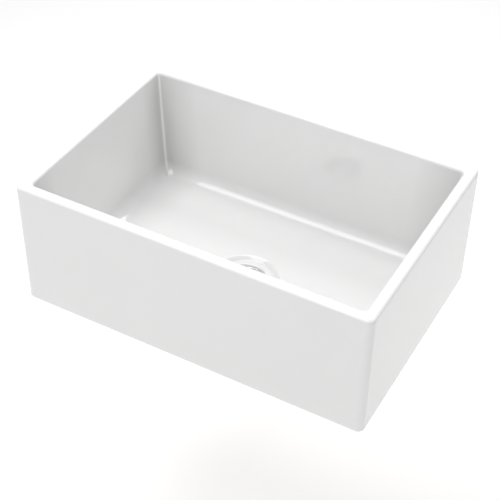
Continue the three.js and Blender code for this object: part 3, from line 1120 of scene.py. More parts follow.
@dataclass(frozen=True)
class Nylon:
    """Natural moulded nylon, slightly waxy."""

    name: str = "natural_nylon"
    color: Color = (0.78, 0.76, 0.69)
    cloud: Pattern = Pattern(240.0)
    cloud_tone: float = 0.92
    grain: Pattern = Pattern(1800.0, height=0.00002)
    roughness: tuple[float, float] = (0.36, 0.5)
    ior: float = 1.53
    wax: float = 0.15
    wax_depth: float = 0.002

    def build(self) -> bpy.types.Material:
        """Builds the material.

        Returns:
            The material.
        """
        tree = ShaderTree(self.name)
        place = tree.place()
        cloud = tree.noise(place, self.cloud)
        return tree.finish(
            Base_Color=tree.blend(cloud, self.color, toned(self.color, self.cloud_tone)),
            Roughness=tree.span(cloud, *self.roughness),
            Normal=tree.bump(tree.noise(place, self.grain), self.grain),
            IOR=self.ior,
            Subsurface_Weight=self.wax,
            Subsurface_Scale=self.wax_depth,
        )


class Finishes:
    """Every finish of the sink, built once, with the slot that the record gives it."""

    def __init__(self, axis: Span) -> None:
        """Builds the materials.

        Args:
            axis: The outlet's span, about whose axis the metals' grain runs.
        """
        centre = Vector((axis.x, axis.y, 0))
        polished = Steel("polished_steel", (0.74, 0.745, 0.75), 0.10, Grain.TURNED)
        pressed_lines = Pattern(5200.0, 3.0, 0.7, 0.000008, 0.6)
        satin = Steel("satin_steel", (0.66, 0.665, 0.67), 0.24, Grain.PRESSED, pressed_lines)
        tube = Steel("tube_steel", (0.70, 0.705, 0.71), 0.18, Grain.DRAWN)
        self.by_slot: dict[str, bpy.types.Material] = {
            "glaze": Glaze().build(),
            "polished_steel": polished.build(centre),
            "satin_steel": satin.build(centre),
            "tube_steel": tube.build(centre),
            "cast_zinc": CastZinc().build(),
            "rubber": Rubber().build(),
            "fibre": Fibre().build(),
            "nylon": Nylon().build(),
        }
        self.bare_clay = BareClay().build()
        self.white_coat = WhiteCoat().build()

    def dress(self, piece: bpy.types.Object, slot: str, node: str, body: str) -> None:
        """Gives a piece its finish and its body, and hides the CAD node that it stands for.

        Args:
            piece: The finished piece.
            slot: The record's material slot.
            node: The CAD node that it replaces.
            body: The body that it rides on.
        """
        if not piece.data.materials:
            piece.data.materials.append(self.by_slot[slot])
        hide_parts(node)
        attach(piece, body)
        LOG.info("%s: %d faces, on %s", piece.name, len(piece.data.polygons), body)


# ------------------------------------------------------------------------------ basin


@dataclass(frozen=True)
class Loop:
    """One level round the basin: a rectangle with round corners, or a circle."""

    x: float
    y: float
    corner: float
    z: float
    centre: float = 0.0

    def towards(self, other: "Loop", share: float) -> "Loop":
        """The loop part of the way to another one."""
        pairs = zip(vars(self).values(), vars(other).values())
        return Loop(*(a + (b - a) * share for a, b in pairs))

    def points(self, corner_steps: int, side_steps: int, support: float) -> list[Vector]:
        """The loop's points: each round corner, then the straight side after it.

        Args:
            corner_steps: Steps round each corner.
            side_steps: Steps along each side between its support points.
            support: How far the support points lie from the corners.

        Returns:
            The points, anticlockwise; on a circle those of the sides coincide.
        """
        signs = ((1, 1), (-1, 1), (-1, -1), (1, -1))
        corners = [
            Vector((sx * (self.x - self.corner), self.centre + sy * (self.y - self.corner), self.z))
            for sx, sy in signs
        ]
        found: list[Vector] = []
        for quarter, middle in enumerate(corners):
            for step in range(corner_steps + 1):
                angle = (quarter + step / corner_steps) * math.pi / 2
                found.append(middle + self.corner * Vector((math.cos(angle), math.sin(angle), 0)))
            side = corners[(quarter + 1) % 4] - middle
            far = side.length > WELD
            share = min(SUPPORT_SHARE, support / side.length) if far else SUPPORT_SHARE
            inner = [share + (1 - 2 * share) * i / side_steps for i in range(side_steps + 1)]
            start = found[-1]
            found.extend(start + side * t for t in inner)
        return found


@dataclass
class Basin:
    """The fireclay basin: one skin from the apron over the rim and down to the outlet."""

    rim_wall: float = 0.0215
    draft: float = math.radians(2)
    end_draft: float = math.radians(4)
    rim_edge: float = 0.007
    base_edge: float = 0.006
    outer_corner: float = 0.012
    inner_corner: float = 0.009
    floor_corner: float = 0.020
    cove: float = 0.024
    floor_thickness: float = 0.033
    floor_fall: float = 0.002
    hole_radius: float = HOLE_RADIUS
    hole_rounding: float = 0.002
    dish_depth: float = 0.0055
    dish_slope: float = 0.0115
    seat_radius: float = 0.0585
    # How wide the painted highlight down each upright corner is, and how far the painted shade
    # beside it reaches, both in corner radii.
    ridge_share: float = 0.45
    shade_reach: float = 2.5
    edge_steps: int = 10
    support: float = 0.0012
    least_corner: float = 0.0005
    wall_pitch: float = 0.03
    side_steps: int = 8
    floor_steps: int = 12
    floor_support: float = 0.015
    underside_shares: tuple[float, ...] = (0.02, 0.25, 0.5, 0.75, 0.99)
    glaze_line: float = 0.0007
    # Where the painted highlight peaks on the rim's rounded edge, as a share of its radius.
    pale_edge: float = 0.3
    past_wall: float = 0.004
    unmarked_cove: float = 0.1
    high: Vector = field(default_factory=lambda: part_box("basin")[1])
    outlet: Span = placed("strainer_body")

    @property
    def rim_z(self) -> float:
        """The height of the dish's rim, where the floor's fall ends."""
        return self.floor_thickness - self.floor_fall

    def inset_at(self, z: float) -> float:
        """How far the drafted inner wall lies in from the outer face, at a height."""
        return self.rim_wall + (self.high.z - z) * math.tan(self.draft)

    def level(self, inset: float, z: float, corner: float) -> Loop:
        """A loop at an inset from the basin's outer faces."""
        return Loop(self.high.x - inset, self.high.y - inset, max(corner, self.least_corner), z)

    def well_level(self, inset: float, z: float, corner: float) -> Loop:
        """A loop inside the well, whose two ends lean more than its long sides."""
        lean = (self.high.z - z) * (math.tan(self.end_draft) - math.tan(self.draft))
        return Loop(self.high.x - inset - lean, self.high.y - inset, corner, z)

    def round_level(self, radius: float, z: float) -> Loop:
        """A round loop about the outlet."""
        return Loop(radius, radius, radius, z, self.outlet.y)

    def arc(self, centre: Point, radius: float, start: float, end: float) -> list[Point]:
        """Points of an arc in the wall's section, from one angle to another, in radians."""
        return arc(centre, radius, start, end, self.edge_steps)

    def outside(self) -> list[Loop]:
        """From the foot's rounded edge up the outer faces to the rim.

        Returns:
            The loops, from the bottom up.
        """
        top = self.high.z
        foot = self.arc((self.base_edge, self.base_edge), self.base_edge, 1.5 * math.pi, math.pi)
        edge = self.arc((self.rim_edge, top - self.rim_edge), self.rim_edge, math.pi, math.pi / 2)
        loops = [self.level(s, z, self.outer_corner - s) for s, z in foot]
        low, high = self.base_edge + self.support, top - self.rim_edge - self.support
        loops += [self.level(0.0, z, self.outer_corner) for z in spaced(low, high, self.wall_pitch)]
        return loops + [self.level(s, z, self.outer_corner - s) for s, z in edge]

    def inner_rim(self) -> list[Loop]:
        """From the rim's flat over its inner edge to the well's wall.

        Returns:
            The loops, inwards and then down.
        """
        top = self.high.z
        tangent = top - self.rim_edge * (1 - math.sin(self.draft))
        centre = self.inset_at(tangent) - self.rim_edge * math.cos(self.draft)
        edge = self.arc((centre, top - self.rim_edge), self.rim_edge, math.pi / 2, self.draft)
        flat = [
            self.level(self.rim_edge + self.support, top, self.outer_corner - self.rim_edge),
            self.level(centre - self.support, top, self.inner_corner + self.rim_edge),
        ]
        return flat + [
            self.well_level(s, z, self.inner_corner + self.inset_at(z) - s) for s, z in edge
        ]

    def well(self) -> list[Loop]:
        """The drafted walls and the cove at their foot.

        Returns:
            The loops, from the top down.
        """
        middle = self.floor_thickness + self.cove
        tangent = middle - self.cove * math.sin(self.draft)
        centre = self.inset_at(tangent) + self.cove * math.cos(self.draft)
        top = self.high.z - self.rim_edge - self.support
        walls = [
            self.well_level(self.inset_at(z), z, self.inner_corner)
            for z in spaced(top, tangent + self.support, self.wall_pitch)
        ]
        sweep = self.arc((centre, middle), self.cove, math.pi + self.draft, 1.5 * math.pi)
        widening = (self.floor_corner - self.inner_corner) / (tangent - self.floor_thickness)
        return walls + [
            self.well_level(s, z, self.inner_corner + widening * (tangent - z)) for s, z in sweep
        ]

    def floor(self, foot: Loop) -> list[Loop]:
        """The falling floor, from the cove's foot to the dish's rim.

        Args:
            foot: The last loop of the cove.

        Returns:
            The loops, inwards.
        """
        rim = self.round_level(self.seat_radius + self.dish_slope, self.rim_z)
        steps = (i / self.floor_steps for i in range(1, self.floor_steps))
        shares = (self.floor_support, *steps, 1 - self.floor_support)
        return [foot.towards(rim, share) for share in shares]

    def dish(self) -> list[Loop]:
        """The round hollow that takes the strainer's flange.

        Returns:
            The loops, inwards and down.
        """
        steps = 2 * self.edge_steps
        loops = []
        for i in range(steps + 1):
            share = i / steps
            drop = self.dish_depth * (1 - math.cos(math.pi * share)) / 2
            radius = self.seat_radius + self.dish_slope * (1 - share)
            loops.append(self.round_level(radius, self.rim_z - drop))
        return loops

    def hole(self) -> list[Loop]:
        """The outlet's rounded edge and bore, down to the underside.

        Returns:
            The loops, from the top down.
        """
        seat = self.rim_z - self.dish_depth
        centre = (self.hole_radius + self.hole_rounding, seat - self.hole_rounding)
        edge = self.arc(centre, self.hole_rounding, math.pi / 2, math.pi)
        bore, rounding = self.hole_radius, self.hole_rounding
        foot = ((bore, rounding), (bore + rounding, 0.0))
        return [self.round_level(r, z) for r, z in (*edge, *foot)]

    def underside(self, first: Loop, last: Loop) -> list[Loop]:
        """The flat foot between the outlet and the outer edge."""
        return [first.towards(last, share) for share in self.underside_shares]

    def build(self, finishes: Finishes) -> None:
        """Builds the basin, glazed all over but for its foot.

        Args:
            finishes: The sink's finishes.
        """
        outside, well, hole = self.outside(), self.well(), self.hole()
        loops = [
            *outside,
            *self.inner_rim(),
            *well,
            *self.floor(well[-1]),
            *self.dish(),
            *hole,
            *self.underside(hole[-1], outside[0]),
        ]
        rows = [loop.points(self.edge_steps, self.side_steps, self.support) for loop in loops]
        piece = skinned("basin_fireclay", rows)
        # Marks where the glaze gets a painted highlight and painted shade.
        self.mark_painted_light(piece)
        piece.data.materials.append(finishes.by_slot["glaze"])
        piece.data.materials.append(finishes.bare_clay)
        for face in piece.data.polygons:
            from_outlet = math.hypot(face.center.x, face.center.y - self.outlet.y)
            if face.center.z < self.glaze_line and from_outlet >= self.hole_radius:
                face.material_index = 1
        finishes.dress(piece, "glaze", "basin", BASIN_BODY)

    def mark_painted_light(self, piece: bpy.types.Object) -> None:
        """Marks where the glaze gets a painted highlight and painted shade, for the material to
        read.

        The painted highlight runs over the rim's edges and down the middle of the well's upright
        corners, and the painted shade darkens a band on either side of them.

        Args:
            piece: The basin.
        """
        # One mark for the painted highlight, one for the painted shade.
        thin = piece.data.attributes.new(PAINTED_HIGHLIGHT_MARK, "FLOAT", "POINT")
        shade = piece.data.attributes.new(SHADE_MARK, "FLOAT", "POINT")
        for vertex in piece.data.vertices:
            pale, dark = self.painted_light_marks(vertex.co)
            thin.data[vertex.index].value = pale
            shade.data[vertex.index].value = dark

    def painted_light_marks(self, place: Vector) -> tuple[float, float]:
        """How much painted highlight and painted shade the glaze gets at a point of the skin, each
        from 0 to 1.

        Args:
            place: The point.

        Returns:
            The painted highlight's share, and the painted shade's.
        """
        depth = (self.high.z - place.z) / self.rim_edge
        # A painted highlight along the rim's rounded edge.
        if depth < 1:
            return max(0.0, 1 - abs(depth - self.pale_edge) / self.pale_edge), 0.0
        lean = (self.high.z - place.z) * (math.tan(self.end_draft) - math.tan(self.draft))
        inset = self.inset_at(place.z)
        from_end = self.high.x - inset - lean - abs(place.x)
        from_side = self.high.y - inset - abs(place.y)
        lowest = self.floor_thickness + self.unmarked_cove * self.cove
        if min(from_end, from_side) < -self.past_wall or place.z < lowest:
            return 0.0, 0.0
        across = abs(from_end - from_side) / self.inner_corner
        reach = max(from_end, from_side) / self.inner_corner
        # A painted highlight down the middle of an upright corner, and painted shade in a band
        # beside it.
        ridge = max(0.0, 1 - across / self.ridge_share)
        band = max(0.0, 1 - max(0.0, reach - 1) / self.shade_reach)
        return ridge, band * (1 - ridge)


# ------------------------------------------------------------- strainer and its fixings


@dataclass
class Strainer:
    """The pressed strainer body with the seals and the nut that clamp it to the basin."""

    sheet: float = 0.0015
    flange_thickness: float = 0.002
    thread_allowance: float = 0.0024
    hole_radius: float = HOLE_RADIUS
    mouth_taper: float = 0.0022
    mouth_depth: float = 0.010
    lip: float = 0.003
    coat_depth: float = 0.005
    cup_corner: float = 0.008
    throat_radius: float = THROAT_RADIUS
    thread: Thread = Thread(0.0018, 0.0007)
    thread_top: float = -0.004
    thread_gap: float = 0.0004
    seal_gap: float = 0.0023
    lug_count: int = 8
    lug_width: float = 0.009
    lug_reach: float = 0.008
    fit: float = FIT
    body: Span = placed("strainer_body")
    seal: Span = placed("flange_seal")
    gasket: Span = placed("lower_gasket")
    friction: Span = placed("friction_ring")
    nut: Span = placed("locknut")

    @property
    def thread_radius(self) -> float:
        """The outside of the threaded wall."""
        return self.hole_radius - self.thread_allowance

    def cup_profile(self) -> list[Point]:
        """The body's section: flange, lip, tapered mouth, wall and holed floor.

        Returns:
            The section's points.
        """
        top, foot = self.body.high, self.body.low
        under = top - self.flange_thickness
        inner = self.thread_radius - self.sheet
        mouth = inner + self.mouth_taper
        mouth_foot = top - self.lip - self.mouth_depth
        floor = foot + self.sheet
        above = [
            Corner(self.body.radius - 0.0006, under, 0.0003),
            Corner(self.body.radius, under + 0.0003, 0.0003),
            Corner(self.body.radius - 0.0002, under + 0.0011, 0.0004),
            Corner(self.body.radius - 0.0030, top - 0.0002, 0.002),
            Corner(mouth + 0.0012, top, 0.0032),
            Corner(mouth - 0.0004, top - self.lip - 0.001, 0.002),
            Corner(inner, mouth_foot, 0.004),
            Corner(inner, floor, self.cup_corner - self.sheet),
            Corner(self.throat_radius + 0.0006, floor, 0.0005),
            Corner(self.throat_radius, foot, 0.0004),
            Corner(self.thread_radius, foot, self.cup_corner),
        ]
        below = [
            Corner(self.thread_radius, mouth_foot, 0.002),
            Corner(mouth + self.sheet - 0.0004, under - self.sheet, 0.002),
            Corner(mouth + self.sheet + 0.0012, under, 0.0008),
        ]
        wall_foot = foot + self.cup_corner + self.thread_gap
        wall = self.thread.wall(self.thread_radius, wall_foot, self.thread_top)
        return insert_run(rounded(above + below), wall)

    def build(self, finishes: Finishes, thread: ShapeTree, lugs: ShapeTree) -> None:
        """Builds the five pieces.

        Args:
            finishes: The sink's finishes.
            thread: The tree that rolls threads.
            lugs: The tree that joins lugs.
        """
        steel = finishes.by_slot["polished_steel"]
        body = turned("strainer_cup", self.cup_profile(), self.body)
        ends = (self.body.low + self.cup_corner, self.thread_top)
        self.thread.roll(body, thread, self.body, self.thread_radius, ends, steel)
        self.coat_flange(body, finishes.white_coat)
        finishes.dress(smooth(body), "polished_steel", "strainer_body", BASIN_BODY)
        self.build_seals(finishes)
        self.build_locknut(finishes, lugs)

    def coat_flange(self, body: bpy.types.Object, coat: bpy.types.Material) -> None:
        """Gives the flange and the mouth, down to the basket's rim, their white coat.

        Args:
            body: The strainer's body.
            coat: The coat's material.
        """
        body.data.materials.append(coat)
        coat_foot = self.body.high - self.coat_depth
        for face in body.data.polygons:
            if face.center.z > coat_foot:
                face.material_index = len(body.data.materials) - 1

    def build_seals(self, finishes: Finishes) -> None:
        """Builds the flange seal, the lower gasket and the friction ring.

        Args:
            finishes: The sink's finishes.
        """
        seal_inner = self.hole_radius + self.seal_gap
        ring_inner = self.thread_radius + self.fit
        rows = (
            ("flange_seal_ring", self.seal, seal_inner, 0.0004, "rubber", "flange_seal"),
            ("rubber_gasket", self.gasket, ring_inner, 0.001, "rubber", "lower_gasket"),
            ("fibre_ring", self.friction, ring_inner, 0.00015, "fibre", "friction_ring"),
        )
        for name, span, inner, edge, slot, node in rows:
            ring = turned(name, ring_profile(span, inner, edge), span)
            finishes.dress(ring, slot, node, BASIN_BODY)

    def build_locknut(self, finishes: Finishes, lugs: ShapeTree) -> None:
        """Builds the lugged nut that clamps the strainer.

        Args:
            finishes: The sink's finishes.
            lugs: The tree that joins lugs.
        """
        span, inner = self.nut, self.thread_radius + self.fit
        outer = span.radius - self.lug_reach
        wall = rounded([
            Corner(inner, span.low, 0.0005),
            Corner(outer - 0.002, span.low, 0.001),
            Corner(outer, span.low + 0.003, 0.001),
            Corner(outer, span.high - 0.003, 0.0008),
            Corner(outer + 0.003, span.high - 0.002, 0.0006),
            Corner(outer + 0.003, span.high, 0.0005),
            Corner(inner, span.high, 0.0003),
        ])
        nut = turned("lugged_locknut", wall, span)
        lug = lug_tool(span, outer, self.lug_width, below=0.0015, above=0.001)
        apply_lugs(nut, lug, lugs, self.lug_count, span, finishes.by_slot["cast_zinc"])
        finishes.dress(nut, "cast_zinc", "locknut", BASIN_BODY)


LUG_ROOT = 0.0015  # how far a lug reaches into the nut's wall
LUG_EDGE = 0.0006


def insert_run(points: list[Point], run: list[Point]) -> list[Point]:
    """Puts a run of points into the straight side of a profile that it lies on.

    Args:
        points: The profile's points.
        run: Points at one radius, from the lowest up.

    Returns:
        The profile with the run in it.
    """
    radius, first, last = run[0][0], run[0][1], run[-1][1]
    for i, (here, after) in enumerate(zip(points, points[1:])):
        upright = max(abs(here[0] - radius), abs(after[0] - radius)) < WELD
        if upright and min(here[1], after[1]) <= first and last <= max(here[1], after[1]):
            ordered = run if here[1] < after[1] else run[::-1]
            return points[: i + 1] + ordered + points[i + 1 :]
    raise ValueError("the run lies on no straight side of the profile")


def ring_profile(span: Span, inner: float, edge: float) -> list[Point]:
    """The section of a flat ring that fills a span, with rounded edges.

    Args:
        span: The span that the ring fills.
        inner: The ring's inner radius.
        edge: The radius of its rounded edges.

    Returns:
        The section's points.
    """
    return rounded([
        Corner(inner, span.low, edge),
        Corner(span.radius, span.low, edge),
        Corner(span.radius, span.high, edge),
        Corner(inner, span.high, edge),
    ])


def lug_tool(span: Span, root: float, width: float, below: float, above: float) -> bpy.types.Object:
    """One driving lug with a round nose, standing off the Z axis along X.

    Args:
        span: The nut's span; the lug reaches its outer radius.
        root: The radius of the nut's wall.
        width: The lug's width.
        below: How far it stops short of the nut's foot.
        above: How far it stops short of the nut's top.

    Returns:
        The tool, centred on the Z axis.
    """
    nose = width / 2
    tip = span.radius - nose
    back = root - LUG_ROOT
    rounding = arc((tip, 0.0), nose, -math.pi / 2, math.pi / 2, steps=10)
    outline = [(back, -nose), *rounding, (back, nose)]
    slab = Span(0.0, 0.0, span.radius, span.low + below, span.high - above)
    return flat_blank("lug_tool", [outline], slab, LUG_EDGE)


def apply_lugs(
    nut: bpy.types.Object,
    lug: bpy.types.Object,
    tree: ShapeTree,
    count: int,
    axis: Span,
    material: bpy.types.Material,
) -> None:
    """Joins a ring of lugs to a nut and drops the tool.

    Args:
        nut: The nut.
        lug: The tool that is one lug.
        tree: The tree that joins lugs.
        count: How many lugs there are.
        axis: The node that gives the nut's axis.
        material: The nut's material.
    """
    tree.apply(nut, {
        "Tool": lug,
        "Count": count,
        "Centre": (axis.x, axis.y, 0.0),
        "Material": material,
    })
    bpy.data.objects.remove(lug)
    smooth(nut)


# -------------------------------------------------------------- outlet and tailpiece


@dataclass
class Outlet:
    """The threaded spigot with its cross, and the tailpiece that its nut holds."""

    spigot_bore: float = 0.01785
    ledge_width: float = 0.0018
    ledge_depth: float = 0.009
    spigot_wall: float = 0.0034
    throat_radius: float = THROAT_RADIUS
    flange_thickness: float = 0.003
    thread: Thread = Thread(0.0022, 0.0008)
    thread_start: float = 0.0018
    thread_end: float = 0.003
    cross_arms: int = 4
    cross_arm_width: float = 0.004
    cross_rim: float = 0.003
    hub_radius: float = 0.008
    hub_hole: float = 0.005
    tube_radius: float = 0.01905
    tube_wall: float = 0.0012
    tube_flange: float = 0.002
    lip: float = 0.003
    lug_count: int = 6
    lug_width: float = 0.007
    lug_reach: float = 0.004
    fit: float = FIT
    spigot: Span = placed("outlet_spigot")
    cross: Span = placed("outlet_cross")
    washer: Span = placed("tailpiece_washer")
    tube: Span = placed("tailpiece")
    nut: Span = placed("coupling_nut")

    @property
    def thread_radius(self) -> float:
        """The outside of the spigot's thread."""
        return self.throat_radius + self.spigot_wall

    def build(self, finishes: Finishes, thread: ShapeTree, lugs: ShapeTree) -> None:
        """Builds the five pieces.

        Args:
            finishes: The sink's finishes.
            thread: The tree that rolls threads.
            lugs: The tree that joins lugs.
        """
        self.build_spigot(finishes, thread)
        self.build_cross(finishes)
        ring = ring_profile(self.washer, self.spigot_bore, edge=0.0003)
        washer = turned("nylon_washer", ring, self.washer)
        finishes.dress(washer, "nylon", "tailpiece_washer", BASIN_BODY)
        self.build_tailpiece(finishes)
        self.build_coupling_nut(finishes, lugs)

    def build_spigot(self, finishes: Finishes, thread: ShapeTree) -> None:
        """Builds the spigot: flange, rebate for the cross, and thread.

        Args:
            finishes: The sink's finishes.
            thread: The tree that rolls threads.
        """
        span, rebate = self.spigot, self.spigot_bore + self.ledge_width
        ledge = span.high - self.ledge_depth
        under = span.high - self.flange_thickness
        profile = rounded([
            Corner(rebate, span.high, 0.0003),
            Corner(rebate, ledge, 0.0002),
            Corner(self.spigot_bore, ledge, 0.0003),
            Corner(self.spigot_bore, span.low, 0.0004),
            Corner(self.thread_radius - 0.001, span.low, 0.0003),
            Corner(self.thread_radius, span.low + 0.001, 0.0003),
            Corner(self.thread_radius, under, 0.001),
            Corner(span.radius, under, 0.0008),
            Corner(span.radius, span.high, 0.0004),
        ])
        low, high = span.low + self.thread_start, under - self.thread_end
        wall = self.thread.wall(self.thread_radius, low, high)
        piece = turned("threaded_spigot", insert_run(profile, wall), span)
        zinc = finishes.by_slot["cast_zinc"]
        self.thread.roll(piece, thread, span, self.thread_radius, (low, high), zinc)
        finishes.dress(smooth(piece), "cast_zinc", "outlet_spigot", BASIN_BODY)

    def window(self, index: int) -> list[Point]:
        """The outline of one window between two arms of the cross.

        Args:
            index: Which window it is.

        Returns:
            The outline's points.
        """
        inner, outer = self.hub_radius, self.cross.radius - self.cross_rim
        half = self.cross_arm_width / 2
        quarter = FULL_TURN / self.cross_arms
        start = quarter * (index + 0.5)
        near, far = math.asin(half / inner), math.asin(half / outer)
        axis = (0.0, 0.0)
        outward = arc(axis, outer, start + far, start + quarter - far, steps=16)
        return outward + arc(axis, inner, start + quarter - near, start + near, steps=8)

    def build_cross(self, finishes: Finishes) -> None:
        """Builds the pressed cross, windows and hub hole cut clean through.

        Args:
            finishes: The sink's finishes.
        """
        outlines = [circle(self.cross.radius, steps=96), circle(self.hub_hole, steps=40)]
        outlines += [self.window(i) for i in range(self.cross_arms)]
        piece = flat_blank("pressed_cross", outlines, self.cross, edge=0.0003)
        finishes.dress(piece, "satin_steel", "outlet_cross", BASIN_BODY)

    def build_tailpiece(self, finishes: Finishes) -> None:
        """Builds the flanged tube.

        Args:
            finishes: The sink's finishes.
        """
        span, bore = self.tube, self.tube_radius - self.tube_wall
        under = span.high - self.tube_flange
        profile = rounded([
            Corner(bore, span.low, 0.0003),
            Corner(self.tube_radius, span.low, 0.0004),
            Corner(self.tube_radius, under, 0.0012),
            Corner(span.radius, under, 0.0006),
            Corner(span.radius, span.high, 0.0006),
            Corner(bore, span.high, 0.001),
        ])
        piece = turned("flanged_tailpiece", profile, span)
        finishes.dress(piece, "tube_steel", "tailpiece", BASIN_BODY)

    def build_coupling_nut(self, finishes: Finishes, lugs: ShapeTree) -> None:
        """Builds the slip nut that lifts the tailpiece's flange.

        Args:
            finishes: The sink's finishes.
            lugs: The tree that joins lugs.
        """
        span = self.nut
        outer = span.radius - self.lug_reach
        inner = max(self.thread_radius, self.tube.radius) + self.fit
        slip = self.tube_radius + self.fit
        lip = span.low + self.lip
        wall = rounded([
            Corner(slip, span.low, 0.0004),
            Corner(outer - 0.002, span.low, 0.0008),
            Corner(outer, span.low + 0.002, 0.0008),
            Corner(outer, span.high - 0.001, 0.0006),
            Corner(outer - 0.001, span.high, 0.0005),
            Corner(inner, span.high, 0.0005),
            Corner(inner, lip, 0.0003),
            Corner(slip, lip, 0.0003),
        ])
        nut = turned("lugged_coupling_nut", wall, span)
        lug = lug_tool(span, outer, self.lug_width, below=0.002, above=0.002)
        apply_lugs(nut, lug, lugs, self.lug_count, span, finishes.by_slot["cast_zinc"])
        finishes.dress(nut, "cast_zinc", "coupling_nut", BASIN_BODY)


# ----------------------------------------------------------------------------- basket


@dataclass
class Basket:
    """The perforated basket that lifts out, with its riveted collar and grip ring."""

    sheet: float = 0.0009
    bead: float = 0.0013
    depth: float = 0.037
    taper: float = 0.0065
    roll_start: float = math.radians(-60)
    corner: float = 0.005
    hole_radius: float = 0.0024
    wall_rows: int = 3
    row_pitch: float = 0.008
    per_row: int = 16
    floor_rings: int = 2
    floor_pitch: float = 0.008
    hole_pitch: float = 0.009
    hole_sides: int = 28
    floor_web: float = 0.001
    corner_support: float = 0.0005
    cad_facets: int = 32
    post_radius: float = ROD_RADIUS
    collar_wall: float = 0.0035
    collar_flange: float = 0.0015
    groove_depth: float = 0.002
    grip_thickness: float = 0.0017
    fit: float = FIT
    shell: Span = placed("basket_shell")
    collar: Span = placed("basket_collar")
    grip: Span = placed("detent_ring")

    @property
    def rim_z(self) -> float:
        """The height of the rolled rim's centre."""
        return self.shell.high - self.bead

    @property
    def floor_z(self) -> float:
        """The height of the basket's floor, inside."""
        return self.rim_z - self.depth

    @property
    def collar_radius(self) -> float:
        """The outside of the collar's tube."""
        return self.post_radius + self.fit + self.collar_wall

    def build(self, finishes: Finishes, punch: ShapeTree) -> None:
        """Builds the three pieces.

        Args:
            finishes: The sink's finishes.
            punch: The tree that punches holes.
        """
        self.build_shell(finishes, punch)
        self.build_collar(finishes)
        half = self.grip_thickness / 2
        middle_r, middle_z = self.grip.radius - half, (self.grip.low + self.grip.high) / 2
        ring = [(middle_r + x, middle_z + z) for x, z in circle(half, steps=20)]
        piece = turned("grip_ring", ring, self.grip, SMALL_ROUND_STEPS)
        finishes.dress(piece, "rubber", "detent_ring", BASKET_BODY)

    def shell_profile(self) -> list[Point]:
        """The cup's section: floor, round corner, tapered wall and rolled rim.

        Returns:
            The section's points.
        """
        bead_radius = self.shell.radius - self.bead
        top = bead_radius - self.bead / 2
        foot = top - self.taper
        under = self.floor_z - self.sheet
        hole = self.collar_radius + self.fit
        roll = arc((bead_radius, self.rim_z), self.bead, self.roll_start, math.pi, steps=16)
        centre = (foot - self.corner, under + self.corner)
        outer = arc(centre, self.corner, -math.pi / 2, 0.0, steps=8)
        inner = arc(centre, self.corner - self.sheet, 0.0, -math.pi / 2, steps=8)
        flat = centre[0] - self.corner_support
        floor = ((flat, self.floor_z), (hole, self.floor_z))
        return [(hole, under), (flat, under), *outer, *roll, *inner, *floor]

    def build_shell(self, finishes: Finishes, punch: ShapeTree) -> None:
        """Builds the cup and punches its wall and its floor.

        Args:
            finishes: The sink's finishes.
            punch: The tree that punches holes.
        """
        piece = turned("perforated_basket", self.shell_profile(), self.shell)
        top = self.shell.radius - 1.5 * self.bead
        foot = top - self.taper
        lowest = self.floor_z + self.corner + self.hole_radius
        slope = self.taper / self.depth
        shared = {
            "Hole Radius": self.hole_radius,
            "Sides": self.hole_sides,
            "Axis X": self.shell.x,
            "Axis Y": self.shell.y,
            "Material": finishes.by_slot["satin_steel"],
        }
        punch.apply(piece, {
            **shared,
            "Per Row": self.per_row,
            "Rows": self.wall_rows,
            "Radius": foot + (lowest - self.floor_z) * slope,
            "Radius Step": self.row_pitch * slope,
            "Height": lowest,
            "Height Step": self.row_pitch,
            "Start": math.pi / self.cad_facets - math.pi / 2,
            "Lean": math.pi / 2,
        })
        innermost = self.collar.radius + self.hole_radius + self.floor_web
        for row in range(self.floor_rings):
            radius = innermost + row * self.floor_pitch
            count = round(FULL_TURN * radius / self.hole_pitch)
            punch.apply(piece, {
                **shared,
                "Per Row": count,
                "Rows": 1,
                "Radius": radius,
                "Radius Step": 0.0,
                "Height": self.floor_z,
                "Height Step": 0.0,
                "Start": row * math.pi / count,
                "Lean": 0.0,
            })
        finishes.dress(smooth(piece), "satin_steel", "basket_shell", BASKET_BODY)

    def build_collar(self, finishes: Finishes) -> None:
        """Builds the spool that is riveted through the floor and guides the post.

        Args:
            finishes: The sink's finishes.
        """
        span, bore = self.collar, self.post_radius + self.fit
        groove = bore + self.groove_depth
        low, high = self.grip.low - self.fit, self.grip.high + self.fit
        flange = self.floor_z + self.fit
        profile = rounded([
            Corner(bore, span.low, 0.0003),
            Corner(span.radius, span.low, 0.0004),
            Corner(span.radius, span.low + self.collar_flange, 0.0004),
            Corner(self.collar_radius, span.low + self.collar_flange, 0.0002),
            Corner(self.collar_radius, flange, 0.0002),
            Corner(span.radius, flange, 0.0004),
            Corner(span.radius, flange + self.collar_flange, 0.0006),
            Corner(self.collar_radius, flange + self.collar_flange, 0.0008),
            Corner(self.collar_radius, span.high, 0.001),
            Corner(bore, span.high, 0.0004),
            Corner(bore, high, 0.0001),
            Corner(groove, high, 0.0001),
            Corner(groove, low, 0.0001),
            Corner(bore, low, 0.0001),
        ])
        piece = turned("riveted_collar", profile, span, SMALL_ROUND_STEPS)
        finishes.dress(piece, "polished_steel", "basket_collar", BASKET_BODY)


# ------------------------------------------------------------------------------- post


